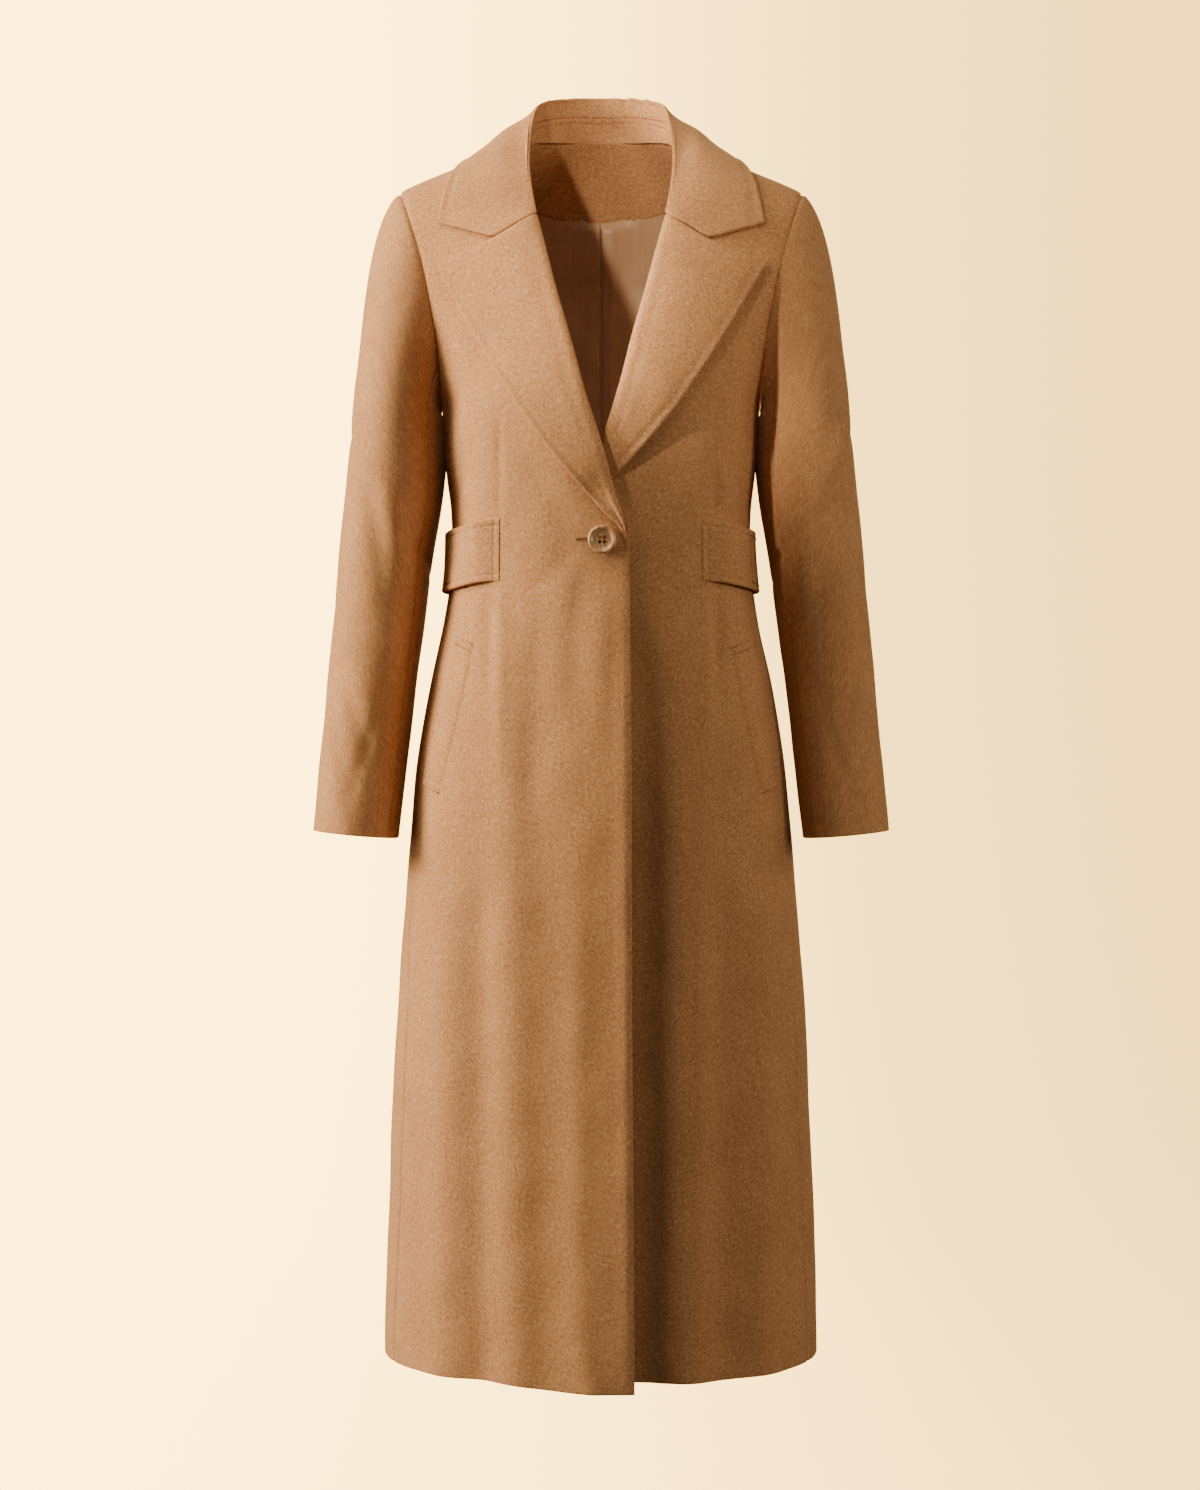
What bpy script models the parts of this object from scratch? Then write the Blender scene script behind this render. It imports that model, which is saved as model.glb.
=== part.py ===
# A long single-breasted wool coat, filled out as it is worn and hollow inside.
# Metres. X runs across the coat with the wearer's left at +X, the front faces -Y and +Z is up.
# The origin lies midway between the shoulder neck points, where the wearer's shoulders carry it.
# Each cloth piece is a wall: a grid of outer points and the same grid moved in along its normals.

import math

import bpy
import numpy as np

RIGHT, LEFT = -1, 1  # the wearer's sides
FRONT, BACK = -1, 1  # the sign of Y

# Driving sizes
CLOTH = 0.0025  # coating wool
LINING = 0.0012  # satin
SEAM = 0.0003  # gap between sewn pieces
HEM_LEVEL = -1.2045
UNDERARM_LEVEL = -0.265
HEM_DIP = 0.0015  # the hem hangs this much lower at the centre front
SQUARENESS = 2.15  # exponent of the rings: 2 is an ellipse
NECK_HALF_WIDTH = 0.079
SHOULDER_DROP = 0.050
SHOULDER_START = 0.070
SHOULDER_BEND = 1.15
ARMHOLE = {"top_x": 0.201, "bottom_x": 0.1585, "front": 0.058, "back": 0.066, "scoop": 0.0065, "bend": 1.1}
BACK_NECK = {"depth": 0.0725, "rise": 0.017, "width": 0.062, "low_width": 0.130}
CHEST_BEND = 1.3  # how the front falls away from the bust to the shoulder
BLADE_BEND = 1.6
LOW_ROWS = 16
BACK_WAIST_ROW = 0.84  # the back's waist seam, hidden under the half belt
ROW_STEP_LEAST = 0.005
YOKE_ROWS = 12
RING_STEP = 15.0  # degrees of the armhole to a yoke row, shared with the sleeve
SHOULDER_GAP = 0.0016  # part of the last row left for the shoulder seam
FRONT_COLUMNS = 14
BACK_COLUMNS = 10
SHARP_ANGLE = 40

# Level rings of the body from the hem up to the underarm. The side seam is an angle from centre front.
RING_COLUMNS = ("level", "half_width", "front_depth", "back_depth", "side_seam")
RINGS = (
    (-1.202, 0.2155, 0.152, 0.135, 70.0),
    (-1.117, 0.2135, 0.150, 0.134, 69.0),
    (-0.957, 0.2080, 0.145, 0.132, 68.0),
    (-0.837, 0.2010, 0.141, 0.130, 70.0),
    (-0.757, 0.1955, 0.139, 0.129, 74.0),
    (-0.677, 0.1890, 0.136, 0.128, 79.0),
    (-0.597, 0.1800, 0.132, 0.126, 83.0),
    (-0.537, 0.1700, 0.128, 0.122, 85.0),
    (-0.477, 0.1570, 0.122, 0.113, 87.0),
    (-0.437, 0.1510, 0.118, 0.104, 88.0),
    (-0.385, 0.1490, 0.116, 0.099, 89.0),
    (-0.332, 0.1540, 0.118, 0.103, 90.0),
    (-0.265, 0.1585, 0.120, 0.112, 90.0),
)

# Depth of the back at its centre, by the height from the underarm (0) to the shoulder (1).
SPINE_COLUMNS = ("height", "depth")
SPINE = (
    (0.00, 0.1120),
    (0.25, 0.1165),
    (0.50, 0.1160),
    (0.70, 0.1045),
    (0.85, 0.0895),
    (0.95, 0.0785),
    (1.00, 0.0725),
)

# The fold line of the lapel and, below the button, the free front edge: distance to the coat's
# own side of the centre, by level. Below the crossing it lies past the centre.
EDGE_COLUMNS = ("level", "x", "setback")
FRONT_EDGE = (
    (-1.215, -0.0310, 0.000),
    (-0.900, -0.0290, 0.000),
    (-0.500, -0.0274, 0.000),
    (-0.434, -0.0268, 0.000),
    (-0.412, -0.0258, 0.000),
    (-0.395, -0.0234, 0.001),
    (-0.374, -0.0176, 0.003),
    (-0.351, -0.0110, 0.005),
    (-0.309, 0.0000, 0.006),
    (-0.2735, 0.0118, 0.006),
    (-0.2190, 0.0260, 0.006),
    (-0.1886, 0.0345, 0.006),
    (-0.1537, 0.0442, 0.006),
    (-0.1332, 0.0491, 0.006),
    (-0.1070, 0.0561, 0.006),
    (-0.0853, 0.0614, 0.006),
    (-0.0640, 0.0660, 0.006),
    (-0.0420, 0.0695, 0.006),
    (-0.0200, 0.0715, 0.0065),
    (0.0200, 0.0725, 0.0065),
)

# How far the upper front stands off the rings near its free edge, and the under front lies inside them.
OVERLAP_COLUMNS = ("level", "lift", "sink")
OVERLAP = (
    (-1.215, 0.0070, 0.0060),
    (-0.900, 0.0050, 0.0050),
    (-0.600, 0.0035, 0.0040),
    (-0.450, 0.0025, 0.0030),
    (-0.406, 0.0020, 0.0025),
    (-0.385, 0.0030, 0.0035),
    (-0.340, 0.0045, 0.0050),
    (-0.300, 0.0035, 0.0045),
    (-0.240, 0.0000, 0.0010),
    (-0.180, 0.0000, 0.0000),
)
OVERLAP_FADE = 0.095
OVER_HEM_DROP = 0.0065  # the upper front's corner hangs lower than the under front's
OVER_HEM_WIDTH = 0.13

# Soft folds: which panel, where each runs in x at its top and bottom level, its half width and height.
FOLD_COLUMNS = ("face", "side", "top_x", "top", "bottom_x", "bottom", "width", "height")
FOLDS = (
    (FRONT, RIGHT, 0.092, -0.440, 0.076, -1.300, 0.018, 0.0050),
    (FRONT, RIGHT, 0.054, -0.440, 0.046, -1.300, 0.015, -0.0030),
    (FRONT, RIGHT, 0.118, -0.640, 0.113, -1.300, 0.017, -0.0055),
    (FRONT, RIGHT, 0.152, -0.700, 0.152, -1.300, 0.016, 0.0030),
    (FRONT, LEFT, 0.094, -0.440, 0.086, -1.300, 0.016, 0.0045),
    (FRONT, LEFT, 0.042, -0.470, 0.044, -1.300, 0.018, -0.0030),
    (FRONT, LEFT, 0.116, -0.600, 0.124, -1.300, 0.016, -0.0050),
    (FRONT, LEFT, 0.158, -0.700, 0.160, -1.300, 0.016, 0.0030),
    (BACK, RIGHT, 0.048, -0.430, 0.058, -1.300, 0.020, 0.0050),
    (BACK, RIGHT, 0.084, -0.430, 0.100, -1.300, 0.018, -0.0050),
    (BACK, RIGHT, 0.122, -0.520, 0.142, -1.300, 0.018, 0.0045),
    (BACK, LEFT, 0.056, -0.430, 0.066, -1.300, 0.020, 0.0045),
    (BACK, LEFT, 0.094, -0.430, 0.108, -1.300, 0.018, -0.0050),
    (BACK, LEFT, 0.128, -0.520, 0.148, -1.300, 0.018, 0.0045),
)
FOLD_FADE = 0.16  # length over which a fold grows out of its top end

# Rings of the sleeve, square to its axis, from the bicep to the cuff.
SLEEVE_COLUMNS = ("level", "centre_x", "centre_y", "half_width", "half_depth")
SLEEVE = (
    (-0.690, 0.2425, -0.0300, 0.0420, 0.0480),
    (-0.657, 0.2393, -0.0245, 0.0426, 0.0490),
    (-0.577, 0.2315, -0.0130, 0.0436, 0.0525),
    (-0.497, 0.2238, -0.0055, 0.0452, 0.0565),
    (-0.417, 0.2155, -0.0015, 0.0468, 0.0605),
    (-0.337, 0.2055, 0.0010, 0.0485, 0.0645),
    (-0.285, 0.2040, 0.0020, 0.0448, 0.0660),
)
BICEP_LEVEL = -0.285
CUFF_LEVEL = -0.690
SLEEVE_TILT = 0.092  # slope of the rings: the cuff is lower on its inner side
CAP_ROWS = 7
ARM_ROWS = 11
CAP_PULL = 1.15  # strength of the sleeve head's end tangent
ARM_MIDDLE = (0.19, 0.0, -0.30)  # a point inside the sleeve below its head
ARM_RADIUS = 0.05
CAP_GAP = 1.6  # seam gaps between armhole and sleeve head
SEAM_DRIFT = (0.6, 2.0)  # way along the sleeve over which its seams turn to their cuff angles
FOLD_GROWTH = (0.2, 0.9)
LEFT_FOLD_SHARE = 0.8
RIM_BLEND = 0.7

# How the sleeve head leaves the armhole, by the angle round it from the shoulder tip to the underarm.
CAP_COLUMNS = ("angle", "out", "fore", "down")
CAP = (
    (0.0, 0.102, 0.000, 0.080),
    (45.0, 0.082, 0.018, 0.090),
    (90.0, 0.050, 0.022, 0.090),
    (135.0, 0.020, 0.008, 0.060),
    (180.0, 0.004, 0.000, 0.020),
)
FRONT_SEAM = (135.0, 146.0)  # angle at the armhole and at the cuff
BACK_SEAM = (240.0, 238.0)
SLEEVE_FOLD_COLUMNS = ("angle", "level", "tilt", "height", "spread", "length")
SLEEVE_FOLDS = (
    (62.0, -0.330, 60.0, 0.0030, 16.0, 0.090),
    (86.0, -0.400, 40.0, -0.0035, 15.0, 0.110),
    (112.0, -0.470, 20.0, 0.0025, 15.0, 0.090),
    (290.0, -0.380, 40.0, 0.0030, 18.0, 0.110),
    (262.0, -0.440, 60.0, -0.0030, 16.0, 0.090),
)

# The collar by stations from the centre back (0) to the gorge (9): its neck seam, the seam that
# joins stand and fall, the crest of the roll, and the outer edge, which lies on the shoulder. The edge is
# given by x and by the way over the shoulder: positive behind the shoulder seam, negative in front.
COLLAR_COLUMNS = (
    "station", "seam_x", "seam_y", "seam_z", "crest_x", "crest_y", "crest_z", "edge_x", "edge_over", "bulge",
)
COLLAR = (
    (0.0, 0.0000, 0.0700, 0.0415, 0.0000, 0.0760, 0.0660, 0.0000, 0.290, 0.004),
    (1.0, 0.0310, 0.0655, 0.0410, 0.0300, 0.0700, 0.0645, 0.0480, 0.300, 0.004),
    (2.0, 0.0535, 0.0490, 0.0350, 0.0510, 0.0520, 0.0578, 0.0860, 0.280, 0.006),
    (3.0, 0.0655, 0.0300, 0.0260, 0.0620, 0.0320, 0.0482, 0.1130, 0.200, 0.008),
    (4.0, 0.0705, 0.0120, 0.0140, 0.0660, 0.0120, 0.0322, 0.1270, 0.090, 0.009),
    (5.0, 0.0735, -0.0060, 0.0010, 0.0690, -0.0060, 0.0106, 0.1330, 0.000, 0.008),
    (6.0, 0.0738, -0.0230, -0.0180, 0.0699, -0.0240, -0.0135, 0.1415, -0.090, 0.006),
    (7.0, 0.0722, -0.0410, -0.0395, 0.0693, -0.0430, -0.0355, 0.1500, -0.180, 0.004),
    (8.0, 0.0685, -0.0545, -0.0640, 0.0660, -0.0588, -0.0618, 0.1550, -0.265, 0.003),
    (9.0, 0.0645, -0.0650, -0.0855, 0.0618, -0.0700, -0.0832, 0.1590, -0.343, 0.002),
)
GORGE_NOTCH = {"x": 0.1030, "z": -0.1115, "out": 0.0066}  # where the collar's end edge leaves the gorge seam
GORGE_MIDDLE = {"x": 0.0836, "z": -0.0986, "out": 0.0072}
GORGE_TURN = {"along": 0.006, "fore": 0.0035}  # the roll's small turn where the collar meets the lapel
COLLAR_THICK = 0.0032
COLLAR_OUT = 0.0062  # how far the visible face of the collar stands off the body at its edge
STAND_END = 4.8
COLLAR_COLUMN_COUNT = 31
LAST_STATION = 9.0
# Where the fall's section passes between its crest and its edge: distances, then shares of its length.
FALL = {"near": 0.009, "near_up": 0.0012, "first": 0.35, "second": 0.7, "stand": 0.6}
STAND_SEAM = {"turn": 4.5, "top": -0.003, "drop": 0.082, "inset": 0.0026, "lift": 0.0012, "row": 1.998}

# The lapels, by rows from the gorge down: fold line and outer edge as x and level.
LAPEL_COLUMNS = ("row", "fold_x", "fold_z", "outer_x", "outer_z")
RIGHT_LAPEL = (
    (0.0, 0.0618, -0.0862, 0.1600, -0.1290),
    (1.0, 0.0590, -0.0960, 0.1530, -0.1420),
    (2.0, 0.0530, -0.1190, 0.1380, -0.1690),
    (3.0, 0.0460, -0.1470, 0.1215, -0.1980),
    (4.0, 0.0380, -0.1770, 0.1040, -0.2290),
    (5.0, 0.0293, -0.2070, 0.0860, -0.2600),
    (6.0, 0.0200, -0.2430, 0.0690, -0.2880),
    (7.0, 0.0105, -0.2770, 0.0510, -0.3150),
    (8.0, 0.0010, -0.3060, 0.0320, -0.3400),
    (9.0, -0.0085, -0.3420, 0.0150, -0.3590),
    (10.0, -0.0160, -0.3680, 0.0010, -0.3770),
    (11.0, -0.0222, -0.3890, -0.0105, -0.3900),
)
LEFT_LAPEL = (
    (0.0, 0.0618, -0.0862, 0.1600, -0.1300),
    (1.0, 0.0590, -0.0960, 0.1510, -0.1450),
    (2.0, 0.0530, -0.1190, 0.1340, -0.1730),
    (3.0, 0.0460, -0.1470, 0.1150, -0.2040),
    (4.0, 0.0380, -0.1770, 0.0960, -0.2350),
    (5.0, 0.0293, -0.2070, 0.0780, -0.2630),
    (6.0, 0.0200, -0.2430, 0.0590, -0.2910),
    (7.0, 0.0105, -0.2770, 0.0400, -0.3150),
    (8.0, 0.0020, -0.3040, 0.0250, -0.3330),
    (9.0, -0.0060, -0.3280, 0.0110, -0.3460),
    (10.0, -0.0100, -0.3440, 0.0000, -0.3550),
)
LAPEL_TOP_COLUMNS = ("share", "x", "z")
LAPEL_TOP = (  # the gorge seam, the notch and the upper edge out to the point
    (0.00, 0.0618, -0.0868),
    (0.22, 0.0828, -0.1008),
    (0.42, 0.1020, -0.1128),
    (0.54, 0.1140, -0.1188),
    (0.72, 0.1310, -0.1250),
    (1.00, 0.1600, -0.1315),
)
# The roll's section: along the way across the lapel (metres from the fold, capped by share), stand-off.
ROLL_COLUMNS = ("reach", "out")
LAPEL_ROLL = ((0.0030, -0.0022), (0.0000, 0.0016), (0.0035, 0.0058), (0.0110, 0.0072))
LAPEL_SHARES = (0.22, 0.32, 0.42, 0.54, 0.72, 0.86, 1.0)
LAPEL_THICK = 0.0028
LAPEL_EDGE_OUT = 0.0048
LAPEL_TOP_GAP = 0.0013
LAPEL_REST = 0.0070  # stand-off of the lapel's middle
LAPEL_CLEAR = 0.0013  # least gap under the lapel
LAPEL_FOLD_CLEAR = 0.0020
LAPEL_TUCK = 0.0022  # how far the fold line sinks in behind the front's edge
LAPEL_FULL_WIDTH = 0.045  # a narrower lapel rolls in proportion
SETBACK_EASE = 0.002
FULL_SETBACK = 0.006

BELT = {"top": -0.3835, "bottom": -0.4485, "side_drop": 0.0060, "end_x": 0.0975, "thick": 0.0032}
BELT |= {"end_out": 0.0043, "side_out": 0.0068, "end_share": 0.09}
BELT_COLUMNS = 20  # on each side of the centre back
BELT_ROWS = 4

WELTS = {
    RIGHT: {"top_x": 0.1235, "top": -0.5035, "bottom_x": 0.1575, "bottom": -0.6500, "rise": 0.0090},
    LEFT: {"top_x": 0.1255, "top": -0.5070, "bottom_x": 0.1560, "bottom": -0.6500, "rise": 0.0075},
}
WELT_WIDTH = 0.0175
WELT_BEND = 1.15
WELT_THICK = 0.0026
WELT_OUT = 0.0031

BACK_FACING = {"top_half": 0.066, "bottom_half": 0.088, "bottom": -0.0590, "side_lift": 0.0090}
FACING_COLUMNS = 8
FACING_ROWS = 5
FACING_TOP_GAP = 0.0012
FACING_GAP = 0.0018
LINING_FIRST_ROW = 0.04  # the lining ends this share of the skirt above the hem
LINING_LAST_ROW = 1.5
LINING_TOP_GAP = 0.0014
LINING_GAP = 0.0006
LINING_EDGE_GAP = 0.0010
LINING_SIDE_SHARE = 0.04  # of the last column, left free at the side seam
PLEAT = {"half_width": 0.0045, "depth": 0.0050, "end": -0.7}
PLEAT_SHARES = (0.0, 0.12, 0.35)  # of the first column

BUTTON = {"x": -0.0010, "level": -0.4063, "radius": 0.0137, "thick": 0.0042, "seat": 0.0016}
BUTTON_HOLES = {"count": 4, "radius": 0.0012, "reach": 0.00255, "sides": 10}
BUTTON_SIDES = 28
BUTTON_PROFILE = (  # shares of the radius and of the thickness, from the middle of the back
    (0.00, 0.00),
    (0.80, 0.00),
    (0.96, 0.25),
    (1.00, 0.55),
    (0.96, 0.85),
    (0.84, 1.00),
    (0.70, 0.86),
    (0.60, 0.62),
    (0.00, 0.58),
)

COLOURS = {  # colour, roughness
    "camel_wool": ((0.56, 0.34, 0.17, 1.0), 0.9),
    "tan_satin": ((0.47, 0.29, 0.18, 1.0), 0.45),
    "horn": ((0.38, 0.25, 0.18, 1.0), 0.3),
}


def curve(columns, rows, name):
    """A smooth reading of one named column of a table, by its first column."""
    rows = sorted(rows)
    keys = np.array([row[0] for row in rows], float)
    values = np.array([row[columns.index(name)] for row in rows], float)
    slopes = np.gradient(values, keys)

    def read(at):
        at = np.clip(np.asarray(at, float), keys[0], keys[-1])
        low = np.clip(np.searchsorted(keys, at, side="right") - 1, 0, len(keys) - 2)
        span = keys[low + 1] - keys[low]
        s = (at - keys[low]) / span
        rise = values[low] * (2 * s**3 - 3 * s**2 + 1) + values[low + 1] * (3 * s**2 - 2 * s**3)
        return rise + span * (slopes[low] * (s**3 - 2 * s**2 + s) + slopes[low + 1] * (s**3 - s**2))

    return read


def ease(at, start, end):
    """0 at start, 1 at end, smooth between."""
    s = np.clip((np.asarray(at, float) - start) / (end - start), 0, 1)
    return s * s * (3 - 2 * s)


def unit(vectors):
    return vectors / np.linalg.norm(vectors, axis=-1, keepdims=True)


def power(base, exponent):
    return np.sign(base) * np.abs(base) ** exponent


half_width = curve(RING_COLUMNS, RINGS, "half_width")
ring_depth = {
    FRONT: curve(RING_COLUMNS, RINGS, "front_depth"),
    BACK: curve(RING_COLUMNS, RINGS, "back_depth"),
}
side_seam = curve(RING_COLUMNS, RINGS, "side_seam")
spine_depth = curve(SPINE_COLUMNS, SPINE, "depth")
edge_x = curve(EDGE_COLUMNS, FRONT_EDGE, "x")
edge_setback = curve(EDGE_COLUMNS, FRONT_EDGE, "setback")
overlap_lift = curve(OVERLAP_COLUMNS, OVERLAP, "lift")
overlap_sink = curve(OVERLAP_COLUMNS, OVERLAP, "sink")


# ---- the body's surface ----


def neck_bump(x, width):
    return 1 / (1 + (np.abs(x) / width) ** 3)


def shoulder_level(x):
    """Level of the shoulder seam and of the back neck."""
    ramp = np.clip((np.abs(x) - SHOULDER_START) / (ARMHOLE["top_x"] - SHOULDER_START), 0, None)
    return BACK_NECK["rise"] * neck_bump(x, BACK_NECK["width"]) - SHOULDER_DROP * ramp**SHOULDER_BEND


def shoulder_y(x):
    return BACK_NECK["depth"] * neck_bump(x, BACK_NECK["width"])


def yoke_ring(face, height):
    """(half width, depth) of the ring at a height from the underarm (0) to the shoulder (1)."""
    height = np.clip(height, 0, 1 - 1e-7)
    depth = float(ring_depth[face](UNDERARM_LEVEL)) * np.sqrt(
        1 - height ** (CHEST_BEND if face == FRONT else BLADE_BEND)
    )
    edge_y = ARMHOLE["front" if face == FRONT else "back"] * 2 * np.sqrt(height * (1 - height))
    rise = ARMHOLE["top_x"] - ARMHOLE["bottom_x"]
    scoop = ARMHOLE["scoop"] * 4 * height * (1 - height)
    edge = ARMHOLE["bottom_x"] + rise * height ** ARMHOLE["bend"] - scoop
    cosine = (edge_y / depth) ** (SQUARENESS / 2)
    width = edge / (1 - cosine**2) ** (1 / SQUARENESS)
    return width, depth, np.arccos(cosine)


def row_height(row):
    """Rows 0 to 1 climb from hem to underarm, rows 1 to 2 from underarm to shoulder."""
    return np.sin(np.clip(np.asarray(row, float) - 1, 0, 1) * math.pi / 2) ** 2


def row_level(row):
    return HEM_LEVEL + (UNDERARM_LEVEL - HEM_LEVEL) * np.clip(row, 0, 1)


def row_ring(face, row):
    """(half width, depth, angle of the panel's outer edge) of a row."""
    height = row_height(row)
    level = row_level(row)
    yoke = yoke_ring(face, height)
    low = (half_width(level), ring_depth[face](level))
    seam = np.radians(side_seam(level))
    if face == BACK:
        seam = math.pi - seam
    above = np.asarray(row) > 1
    return (
        np.where(above, yoke[0], low[0]),
        np.where(above, yoke[1], low[1]),
        np.where(above, yoke[2], seam),
    )


def angle_at(face, row, x):
    width = row_ring(face, row)[0]
    return np.arcsin(power(np.clip(x / width, -1, 1), SQUARENESS / 2))


def bare(face, row, angle):
    """The body's smooth surface, before folds: angle from the centre of that face to its outer edge."""
    row, angle = np.broadcast_arrays(np.asarray(row, float), np.asarray(angle, float))
    width, depth, _ = row_ring(face, row)
    height = row_height(row)
    x = width * power(np.sin(angle), 2 / SQUARENESS)
    side = depth * power(np.cos(angle), 2 / SQUARENESS)
    if face == FRONT:
        y = -side + shoulder_y(x) * height**3
        dip = HEM_DIP * (1 - np.clip(row, 0, 1)) ** 3 * np.clip(np.cos(angle), 0, 1)
    else:
        wide = BACK_NECK["low_width"]
        spread = wide + (BACK_NECK["width"] - wide) * ease(height, 0.25, 1.0)
        beyond = np.cos(angle) < 0  # past the side line the back follows the front's ring
        side = np.where(beyond, side * row_ring(FRONT, row)[1] / depth, side)
        y = side + neck_bump(x, spread) * (spine_depth(height) - depth) * (row > 1)
        dip = HEM_DIP * (1 - np.clip(row, 0, 1)) ** 3 * np.clip(-np.cos(angle), 0, 1)
    z = np.where(row > 1, UNDERARM_LEVEL * (1 - height) + shoulder_level(x) * height, row_level(row) - dip)
    return np.stack([x, y, z], axis=-1)


def offset(face, side, x, z):
    """How far the cloth stands off the smooth rings: the overlap at centre front and the folds."""
    total = np.zeros(np.broadcast(x, z).shape)
    if face == FRONT:
        near = 1 - ease(x, 0.0, OVERLAP_FADE)
        total = total + near * (overlap_lift(z) if side == RIGHT else -overlap_sink(z))
    for row in FOLDS:
        fold = dict(zip(FOLD_COLUMNS, row))
        if (fold["face"], fold["side"]) != (face, side):
            continue
        along = (z - fold["top"]) / (fold["bottom"] - fold["top"])
        line = fold["top_x"] + (fold["bottom_x"] - fold["top_x"]) * along
        grow = ease(fold["top"] - z, 0.0, FOLD_FADE)
        total = total + fold["height"] * grow * np.exp(-(((x - line) / fold["width"]) ** 2))
    return total


def numeric_normals(surface, u, v, step=1e-4, top=None):
    """Unit normals of surface(u, v); the rows stop at top where the surface folds back."""
    u_high = u + step if top is None else np.minimum(u + step, top)
    along_u = surface(u_high, v) - surface(u - step, v)
    along_v = surface(u, v + step) - surface(u, v - step)
    return unit(np.cross(along_u, along_v))


def body(face, side, row, angle, out=0.0):
    """Points on the cloth's outer face, moved out by a distance, in the coordinates of the +X side."""
    row, angle = np.broadcast_arrays(np.asarray(row, float), np.asarray(angle, float))

    def surface(u, v):
        return bare(face, u, v)

    points = surface(row, angle)
    normals = numeric_normals(surface, row, angle, top=2.0) * face
    shift = offset(face, side, points[..., 0], points[..., 2]) + out
    points = points + normals * shift[..., None]
    if face == FRONT and side == RIGHT:
        corner = ease(OVER_HEM_WIDTH - points[..., 0], 0.0, OVER_HEM_WIDTH) * (1 - np.clip(row, 0, 1)) ** 3
        points[..., 2] -= OVER_HEM_DROP * corner
    return points, normals


def body_at(face, side, x, z, out=0.0):
    """The same surface found by x and level, for what lies on a panel."""
    x, z = np.broadcast_arrays(np.asarray(x, float), np.asarray(z, float))
    height = np.clip((z - UNDERARM_LEVEL) / (shoulder_level(x) - UNDERARM_LEVEL), 0, 1)
    low = (z - HEM_LEVEL) / (UNDERARM_LEVEL - HEM_LEVEL)
    row = np.where(height > 0, 1 + np.arcsin(np.sqrt(height)) * 2 / math.pi, low)
    return body(face, side, row, angle_at(face, row, x), out)


def to_side(points, side):
    return points * np.array([side, 1, 1])


# ---- meshes ----


def material(name):
    found = bpy.data.materials.get(name)
    if found:
        return found
    colour, roughness = COLOURS[name]
    made = bpy.data.materials.new(name)
    made.use_nodes = True
    shader = made.node_tree.nodes["Principled BSDF"]
    shader.inputs["Base Color"].default_value = colour
    shader.inputs["Roughness"].default_value = roughness
    shader.inputs["Metallic"].default_value = 0.0
    return made


def solid(name, points, faces, finish):
    """One closed object with its faces turned out."""
    points = np.asarray(points, float)
    volume = 0.0
    for face in faces:
        for second, third in zip(face[1:-1], face[2:]):
            volume += np.dot(points[face[0]], np.cross(points[second], points[third]))
    if volume < 0:
        faces = [(face[0], *reversed(face[1:])) for face in faces]
    mesh = bpy.data.meshes.new(name)
    mesh.from_pydata([tuple(point) for point in points], [], faces)
    mesh.materials.append(material(finish))
    mesh.shade_smooth()
    mesh.set_sharp_from_angle(angle=math.radians(SHARP_ANGLE))
    made = bpy.data.objects.new(name, mesh)
    bpy.context.scene.collection.objects.link(made)
    return made


def wall(name, outer, inner, finish="camel_wool"):
    """A cloth wall between two grids of points, closed along its rim."""
    rows, columns = outer.shape[:2]
    size = rows * columns
    index = np.arange(size).reshape(rows, columns)
    faces = []
    for i in range(rows - 1):
        for j in range(columns - 1):
            a, b, c, d = (int(index[place]) for place in ((i, j), (i, j + 1), (i + 1, j + 1), (i + 1, j)))
            down = np.linalg.norm(outer[i, j] - outer[i + 1, j + 1])
            up = np.linalg.norm(outer[i, j + 1] - outer[i + 1, j])
            halves = ((a, b, c), (a, c, d)) if down < up else ((a, b, d), (b, c, d))
            for first, second, third in halves:
                faces.append((first, second, third))
                faces.append((first + size, third + size, second + size))
    rim = list(index[0, :]) + list(index[1:, -1]) + list(index[-1, -2::-1]) + list(index[-2:0:-1, 0])
    for first, second in zip(rim, rim[1:] + rim[:1]):
        faces.append((int(second), int(first), int(first + size), int(second + size)))
    points = np.concatenate([outer.reshape(-1, 3), inner.reshape(-1, 3)])
    return solid(name, points, faces, finish)


# ---- the sleeve's surface ----

sleeve_read = {name: curve(SLEEVE_COLUMNS, SLEEVE, name) for name in SLEEVE_COLUMNS[1:]}
cap_read = {name: curve(CAP_COLUMNS, CAP, name) for name in CAP_COLUMNS[1:]}


def armhole(angle):
    """(points, outward tangents, normals) of the armhole edge, angle from the tip round the front."""
    turn = np.mod(angle, 360)
    is_front = turn <= 180
    row = 2 - np.where(is_front, turn, 360 - turn) / 180
    parts = []
    for face in (FRONT, BACK):
        edge = row_ring(face, np.maximum(row, 1 + 1e-9))[2]
        points, normals = body(face, LEFT, row, edge)
        beyond = body(face, LEFT, row, edge + 1e-3)[0]
        parts.append((points, unit(beyond - points), normals))
    front, back = parts
    pick = is_front[..., None]
    return tuple(np.where(pick, a, b) for a, b in zip(front, back))


def arm_ring(angle, level):
    turn = np.radians(angle)
    x = sleeve_read["centre_x"](level) + sleeve_read["half_width"](level) * np.cos(turn)
    y = sleeve_read["centre_y"](level) - sleeve_read["half_depth"](level) * np.sin(turn)
    z = level + SLEEVE_TILT * sleeve_read["half_width"](level) * np.cos(turn)
    return np.stack([x, y, z], axis=-1)


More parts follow.
